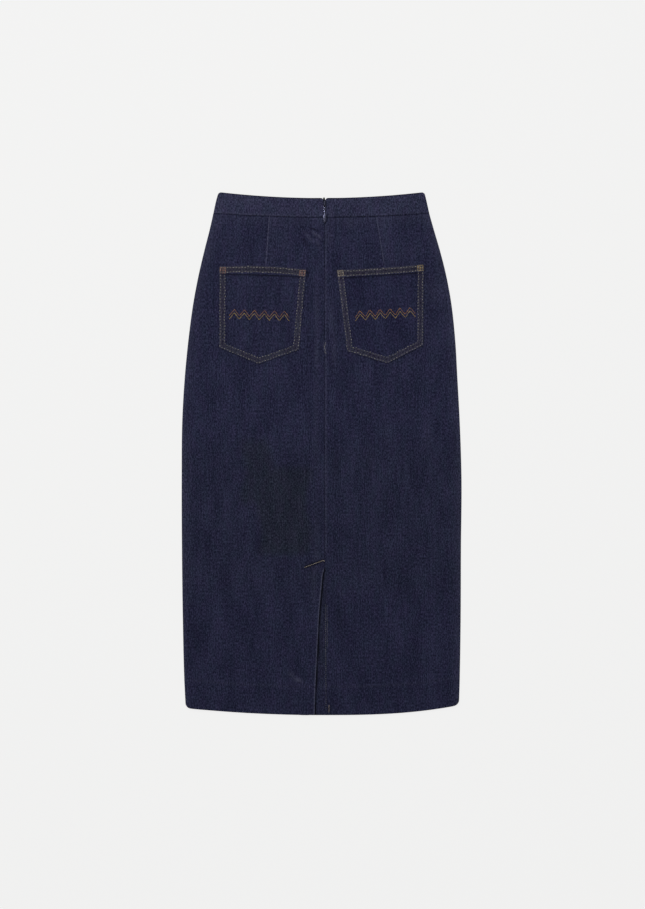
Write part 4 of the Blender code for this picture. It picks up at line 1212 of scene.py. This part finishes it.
def tab_grid():
    """Sections down the tab, (w cos^0.8, h sin^0.9), nearly an ellipse, with w from the widths' smooth line.

    The upper half is crowned by 1 + 0.48 w, and a shallow facet is ground along both sides.
    """
    turns = np.radians(np.arange(0, 360, 6))[None, :]
    down = rows_between([3.6, 5.2, 26.4, 29.4, 30.0], [0.4, 0.9, 0.4, 0.12])[:, None]
    wide = smooth_line(*TAB_WIDTHS.T, down)
    thick = 0.4 * np.clip((30.05 - down) / 0.8, 0.02, 1) ** 0.5 * np.clip((down - 3.3) / 0.6, 0.3, 1) ** 0.5
    crown = np.where(np.sin(turns) > 0, 1 + 1.1 * wide / 2.3, 1)
    x = wide * blunt(np.cos(turns), 0.8)
    z = thick * crown * blunt(np.sin(turns), 0.9)
    facet = 1.21 + 0.026 * (down - 19.3) + 0.004 * (down - 19.3) ** 2 - 0.38 * np.abs(x)
    return grid(CENTRE_BACK + x, PIVOT_Y - down, PIVOT_Z + np.minimum(z, facet))


def eye_grid():
    """A ring round the slider's arch, a blunt oval 2.9 mm wide and 4 mm long, of round wire."""
    bend = np.radians(np.arange(0, 360, 12))[:, None]
    turns = np.radians(np.arange(0, 360, 45))[None, :]
    out = EYE_WIRE * np.cos(turns)
    x = 1.45 * blunt(np.cos(bend), 0.55) + out * np.cos(bend)
    y = 2.0 * blunt(np.sin(bend), 0.7) - 1.95 + out * np.sin(bend)
    return grid(CENTRE_BACK + x, PIVOT_Y + y, PIVOT_Z + EYE_WIRE * np.sin(turns))


def tube_faces(shape, first, closed):
    """Quads between a tube's rings, whose points count on from first. An open tube gets a lid at each end."""
    rows, columns = shape.shape[:2]
    number = np.arange(rows * columns).reshape(rows, columns) + first
    low = number if closed else number[:-1]
    high = np.roll(number, -1, axis=0) if closed else number[1:]
    quads = np.stack([low, np.roll(low, -1, axis=1), np.roll(high, -1, axis=1), high], axis=-1).reshape(-1, 4)
    if closed:
        return quads[:, ::-1].tolist()
    return quads.tolist() + [number[0, ::-1].tolist(), number[-1].tolist()]


def pull_tab():
    """The tab and its eye as one piece."""
    tab, eye = tab_grid(), eye_grid()
    points = np.concatenate([tab.reshape(-1, 3), eye.reshape(-1, 3)])
    print("The pull is", round(float(np.ptp(points[:, 1])), 1), "mm long")
    faces = tube_faces(tab, 0, closed=False) + tube_faces(eye, tab[..., 0].size, closed=True)
    return new_piece("zip_pull_tab", points, faces)


pull = pull_tab()

# %% [markdown]
# ## Writing materials as sums
#
# A material is a graph of nodes, and maths on it is easier to read as an expression. Wire wraps one socket,
# and + - * on wires and numbers add the Math nodes. Finish holds one material and adds any other node.


# %% Wires and finishes
class Wire:
    """A socket in a material. Sums of wires and numbers add Math nodes to its tree."""

    def __init__(self, finish, socket):
        self.finish = finish
        self.socket = socket

    def maths(self, operation, *others):
        return self.finish.maths(operation, self, *others)

    def __add__(self, other):
        return self.maths("ADD", other)

    def __sub__(self, other):
        return self.maths("SUBTRACT", other)

    def __mul__(self, other):
        return self.maths("MULTIPLY", other)

    def __rsub__(self, other):
        return self.finish.maths("SUBTRACT", other, self)

    __radd__ = __add__
    __rmul__ = __mul__

    def turns(self, pitch):
        """The angle of a wave that comes round once every pitch."""
        return self * (2 * math.pi / pitch)


class Finish:
    """A material with a Principled shader, and one way to add every other node to it."""

    def __init__(self, name, **constants):
        self.material = bpy.data.materials.new(name)
        self.material.use_nodes = True
        self.shader = self.material.node_tree.nodes["Principled BSDF"]
        for socket, value in constants.items():
            self.shader.inputs[socket.replace("_", " ")].default_value = value

    def node(self, kind, settings=(), inputs=(), output=0):
        """A node of a kind: its settings first, then its sockets' values or links. Returns one output."""
        made = self.material.node_tree.nodes.new(kind)
        for key, value in dict(settings).items():
            setattr(made, key, value)
        for key, value in dict(inputs).items():
            if isinstance(value, Wire):
                self.material.node_tree.links.new(value.socket, made.inputs[key])
            else:
                made.inputs[key].default_value = value
        return Wire(self, made.outputs[output])

    def maths(self, operation, *values):
        """A Math node on wires and numbers."""
        return self.node("ShaderNodeMath", {"operation": operation}, dict(enumerate(values)))

    def feed(self, **wires):
        """Links wires to the shader's sockets."""
        for socket, wire in wires.items():
            self.material.node_tree.links.new(wire.socket, self.shader.inputs[socket.replace("_", " ")])
        return self.material

    def mark(self, name):
        """A number painted on the piece's points."""
        return self.node("ShaderNodeAttribute", {"attribute_name": name}, output="Fac")

    def grain(self):
        """The cloth's own place in metres: the pair, then across and along the warp."""
        pair = self.node("ShaderNodeUVMap", {"uv_map": "grain"})
        return pair, *[self.node("ShaderNodeSeparateXYZ", {}, {0: pair}, part) for part in ("X", "Y")]

    def noise(self, where, scale=1.0, detail=1.0, roughness=0.5):
        """Smooth noise around 0."""
        inputs = {"Vector": where, "Scale": scale, "Detail": detail, "Roughness": roughness}
        return self.node("ShaderNodeTexNoise", {}, inputs) - 0.5

    def streaks(self, pair, across, along, **settings):
        """Noise around 0 that changes so many times in a metre across and along the grain."""
        stretch = {0: pair, 1: (across, along, 1.0)}
        return self.noise(self.node("ShaderNodeVectorMath", {"operation": "MULTIPLY"}, stretch), **settings)

    def specks(self, scale, detail):
        """Noise around 0 in the object's own space."""
        return self.noise(self.node("ShaderNodeTexCoord", output="Object"), scale, detail)

    def blend(self, amount, first, second, way="MIX"):
        """One colour turning into another as amount goes from 0 to 1, or by MULTIPLY into their product."""
        settings = {"data_type": "RGBA", "clamp_factor": True, "blend_type": way}
        return self.node("ShaderNodeMix", settings, {0: amount, 6: first, 7: second}, 2)

    def bump(self, height, strength, distance):
        """Small relief: height is a share of distance, in metres."""
        return self.node("ShaderNodeBump", {}, {"Height": height, "Strength": strength, "Distance": distance})


# %% [markdown]
# ## Raw indigo denim
#
# Denim is a twill: indigo warp threads lie on top and cross three pale weft threads at a time, which makes
# fine slanting ribs. The warp yarn is spun unevenly, so long thin streaks of darker and paler blue run along
# it; those are what the eye sees from a step away. The material builds them from noise that is stretched
# along the grain, adds the ribs and the single yarns, paints wear and highlights paler on raised edges and
# folds, and paints shade darker in seams and creases.

# %% The denim
EDGE_TINT = (1.40, 1.27, 0.88, 1)  # what shaded cloth is multiplied by between the pockets' rows
SMUDGE_AND_SHADE_TINT = (0.88, 0.95, 0.74, 1)  # and on the panels, where on the underlap it is painted shade
LILAC, TEAL = (1.05, 0.97, 1.03, 1), (0.94, 1.03, 0.98, 1)  # slow changes of hue
PALE_FOR_WEAR_AND_HIGHLIGHT, DARK_FOR_PAINTED_SHADE = (0.062, 0.064, 0.105, 1), (0.004, 0.0042, 0.010, 1)  # pale for wear and painted highlights, dark for painted shade
# pitches in metres: of the ribs across the warp and along it, of the warp's yarns and of the weft's
RIB_ACROSS, RIB_ALONG, WARP_YARN, WEFT_YARN = 1.7e-3, 2.3e-3, 0.45e-3, 0.58e-3


def denim(name, deep, pale, tint=SMUDGE_AND_SHADE_TINT, contrast=1.0):
    """Grain, streaks of two lengths, ribs, flecks of weft, slow patches, and marks of wear, painted light and
    shade.
    """
    finish = Finish(name, Roughness=0.9, Specular_IOR_Level=0.06, Sheen_Weight=0.02, Sheen_Roughness=0.5)
    grain, u, v = finish.grain()
    long_streaks = finish.streaks(grain, 620, 17)
    short_streaks = finish.streaks(grain, 800, 120)
    slubs = finish.streaks(grain, 580, 290, detail=1.5, roughness=0.6)
    patches = finish.streaks(grain, 30, 12, detail=1.5)
    hues = finish.streaks(grain, 90, 40)
    ribs = (u.turns(RIB_ACROSS) - v.turns(RIB_ALONG)).maths("SINE")
    yarns = u.turns(WARP_YARN).maths("SINE")
    picks = v.turns(WEFT_YARN).maths("SINE")
    flecks = (ribs * yarns * picks).maths("MAXIMUM", 0.0)
    shade = (long_streaks * 0.7 + short_streaks * 0.8 + slubs * 2.3 + patches * 0.55) * contrast
    shade = 0.335 + shade + shade * shade * 0.55 + ribs * 0.05 + yarns * 0.08 + flecks * 0.50
    colour = finish.blend(shade, deep, pale)
    lilac, teal = (finish.blend(1.0, colour, hue, "MULTIPLY") for hue in (LILAC, TEAL))
    colour = finish.blend(hues * 3.0 + 0.5, lilac, teal)
    worn = finish.mark("worn")
    uneven_wear_and_light = worn * (0.75 + slubs * 1.8 + short_streaks)
    # paler where the mark is positive, for wear and painted highlights
    colour = finish.blend(uneven_wear_and_light.maths("MAXIMUM", 0.0) * 0.55, colour, PALE_FOR_WEAR_AND_HIGHLIGHT)
    # darker where it is negative, for painted shade and shadows
    colour = finish.blend((worn * -1.0).maths("MAXIMUM", 0.0) * 0.75, colour, DARK_FOR_PAINTED_SHADE)
    colour = finish.blend(finish.mark("shaded"), colour, tint, "MULTIPLY")
    relief = ribs * 0.35 + yarns * 0.25 + (short_streaks + slubs) * 1.2
    return finish.feed(Base_Color=colour, Normal=finish.bump(relief, 0.55, 0.00012))


# each cloth's deep and pale blue; the band is the palest and the right pocket the deepest
BLUES = {
    "body": ((0.0038, 0.0043, 0.0153, 1), (0.0338, 0.0355, 0.0765, 1)),
    "pocket_left": ((0.0037, 0.0042, 0.0147, 1), (0.0333, 0.0349, 0.0748, 1)),
    "pocket_right": ((0.0034, 0.0037, 0.0144, 1), (0.0312, 0.0326, 0.0735, 1)),
    "band": ((0.0070, 0.0076, 0.0207, 1), (0.0445, 0.0462, 0.0920, 1)),
}
denim_body = denim("indigo_denim", *BLUES["body"])
denim_pockets = {
    "pocket_left": denim("pocket_denim", *BLUES["pocket_left"], EDGE_TINT),
    "pocket_right": denim("deeper_denim", *BLUES["pocket_right"], EDGE_TINT),
}
denim_band = denim("band_denim", *BLUES["band"], contrast=1.2)

# %% [markdown]
# ## Threads, tape and lacquered metal
#
# Topstitching thread is thick and twisted from plies, which catches light as slanting stripes. The zip's
# tape is fine dark twill. The slider and the pull are die-cast zinc under dark blue lacquer.

# %% Thread
# each thread's own colour, and the darker one that it fades to at random and that paints the shade between
# its plies
THREAD_COLOURS = {
    "copper": ((0.42, 0.190, 0.055, 1), (0.17, 0.078, 0.032, 1)),
    "gold": ((0.46, 0.320, 0.085, 1), (0.22, 0.145, 0.042, 1)),
    "rose": ((0.24, 0.125, 0.100, 1), (0.08, 0.042, 0.045, 1)),
    "tan": ((0.22, 0.180, 0.140, 1), (0.10, 0.080, 0.070, 1)),
    "amber": ((0.26, 0.190, 0.095, 1), (0.11, 0.080, 0.045, 1)),
    "grey": ((0.226, 0.217, 0.200, 1), (0.068, 0.067, 0.075, 1)),
    "stone": ((0.33, 0.295, 0.240, 1), (0.24, 0.195, 0.135, 1)),
    "slate": ((0.150, 0.150, 0.155, 1), (0.055, 0.056, 0.066, 1)),
    "blue": ((0.075, 0.080, 0.120, 1), (0.035, 0.038, 0.065, 1)),
}


def twisted_thread(name, colour, dark):
    """Slanting plies from the thread's own UV: the sine of turns around plus turns along."""
    finish = Finish(name, Roughness=0.55, Specular_IOR_Level=0.3, Sheen_Weight=0.1)
    u, v = finish.grain()[1:]
    plies = (u.turns(1) + v.turns(0.9e-3)).maths("SINE")
    # the plies' stripes in the colour are painted shade between the plies; the specks fade it at random
    amount = 0.46 - plies * 0.22 + finish.specks(230.0, 1.5) * 3.2
    return finish.feed(Base_Color=finish.blend(amount, colour, dark), Normal=finish.bump(plies, 0.5, 0.0001))


spools = {name: twisted_thread(name + "_thread", *colours) for name, colours in THREAD_COLOURS.items()}


# %% Tape, coil and lacquer
def woven_tape(name):
    """Fine herringbone: ribs that lean one way and then the other across the tape."""
    finish = Finish(name, Roughness=0.8, Specular_IOR_Level=0.15)
    u, v = finish.grain()[1:]
    lean = u.turns(3e-3).maths("SINE")
    ribs = (v.turns(0.8e-3) + lean * 3.0).maths("SINE")
    colour = finish.blend(ribs * 0.5 + 0.5, (0.003, 0.0033, 0.006, 1), (0.008, 0.0085, 0.014, 1))
    return finish.feed(Base_Color=colour, Normal=finish.bump(ribs, 0.4, 0.0001))


def lacquer(name, colour, roughness, **constants):
    """A smooth surface with faint scuffs in its colour and around its mean roughness."""
    finish = Finish(name, **constants)
    scuffs = finish.specks(900.0, 3.0)
    pale = tuple(min(1.0, 1.5 * c) for c in colour[:3]) + (1,)
    colour = finish.blend(scuffs * 2.0, colour, pale)
    return finish.feed(Base_Color=colour, Roughness=scuffs * 0.12 + roughness)


tape_weave = woven_tape("navy_zip_tape")
coil_nylon = lacquer("navy_nylon", (0.003, 0.0033, 0.006, 1), 0.46, Specular_IOR_Level=0.12)
zip_lacquer = lacquer("navy_lacquer", (0.080, 0.083, 0.130, 1), 0.22, Metallic=1.0)
slider_lacquer = lacquer("navy_slider_lacquer", (0.030, 0.031, 0.048, 1), 0.48, Metallic=1.0)

# %% [markdown]
# ## Put the finishes on, and hide the solids that the pieces stand for
#
# Each piece of cloth stands for the solid of the same name, which is hidden, and moves with the skirt; the
# pull's tab moves with the pull.


# %% Dress each piece
def dress(pieces, material, body="skirt"):
    """Gives pieces their material and the body that they move with."""
    for piece in pieces:
        piece.data.materials.clear()
        piece.data.materials.append(material)
        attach(piece, body)


dress([back_left, back_right, front], denim_body)
dress([band_left, band_right, band_front], denim_band)
tack_colours = {"pocket_left": ("rose", "rose"), "pocket_right": ("tan", "amber")}
for name, threads in pocket_threads.items():
    dress([pockets[name]], denim_pockets[name])
    for piece, colour in zip(threads, ("grey", "grey", *tack_colours[name], "copper", "gold")):
        dress([piece], spools[colour])
dress([vent_stitches], spools["stone"])
dress([edge_stitches], spools["slate"])
dress([hem_tack], spools["tan"])
dress([loose_thread], spools["grey"])
dress(hem_threads, spools["blue"])
dress([tape_left, tape_right], tape_weave)
dress([coil, tips], coil_nylon)
dress([pull], zip_lacquer, body="pull")


def cut_as(node):
    """Hides the solid that the piece stands for.
    """
    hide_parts(node)


cut_as("front_panel")
cut_as("back_left")
cut_as("back_right")
cut_as("band_front")
cut_as("band_back_left")
cut_as("band_back_right")
for name, panel in (("pocket_left", back_left), ("pocket_right", back_right)):
    cut_as(name)
cut_as("zip_tape_left")
cut_as("zip_tape_right")
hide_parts("zip_chain")
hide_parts("zip_pull")
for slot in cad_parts["zip_slider"].material_slots:
    slot.material = slider_lacquer

# %% [markdown]
# ## The table, the light and the camera
#
# The skirt is shown from straight above on a pale table, in a bright room with a large soft light beyond its
# waist and a small one on its left, which brings out the weave and glints on the zip's pull. The table glows
# faintly, as a light table does, so that the shadow at the edges stays thin.


# %% The pale table
def pale_table(half, below):
    """A flat quad under the skirt, given half its width and how far it is below z = 0, in metres."""
    corners = [(x * half, y * half, -below) for x, y in ((-1, -1), (1, -1), (1, 1), (-1, 1))]
    mesh = bpy.data.meshes.new("table")
    mesh.from_pydata(corners, [], [(0, 1, 2, 3)])
    table = bpy.data.objects.new("table", mesh)
    bpy.context.scene.collection.objects.link(table)
    paint = {"Base_Color": (0.06, 0.06, 0.06, 1), "Roughness": 0.9, "Specular_IOR_Level": 0.0}
    glow = {"Emission_Color": (1.0, 1.0, 0.995, 1), "Emission_Strength": 0.832}
    mesh.materials.append(Finish("pale_table", **paint, **glow).material)


pale_table(20.0, 0.0004)

# %% Light
world = bpy.data.worlds.new("bright_room")
world.use_nodes = True
world.node_tree.nodes["Background"].inputs["Color"].default_value = (1.0, 1.0, 1.0, 1)
world.node_tree.nodes["Background"].inputs["Strength"].default_value = 0.42
bpy.context.scene.world = world


def softbox(name, place, watts, wide):
    """A square lamp of a given width at a place, in metres, turned to face the skirt's middle."""
    lamp = bpy.data.lights.new(name, "AREA")
    lamp.energy = watts
    lamp.size = wide
    holder = bpy.data.objects.new(name, lamp)
    holder.location = place
    holder.rotation_mode = "QUATERNION"
    holder.rotation_quaternion = Vector(place).to_track_quat("Z", "Y")
    bpy.context.scene.collection.objects.link(holder)


softbox("key_light", (-0.10, 1.35, 1.9), 26.0, 0.9)
softbox("side_light", (-1.5, 0.5, 1.7), 8.0, 0.13)

# %% Camera
lens = bpy.data.cameras.new("camera")
lens.sensor_width = 36.0
lens.lens = 95.05
lens.clip_end = 100.0
camera = bpy.data.objects.new("camera", lens)
camera.location = (0.0015, -0.0012, 4.0)
bpy.context.scene.collection.objects.link(camera)
bpy.context.scene.camera = camera
bpy.context.scene.view_settings.view_transform = "Standard"
bpy.context.scene.view_settings.look = "None"
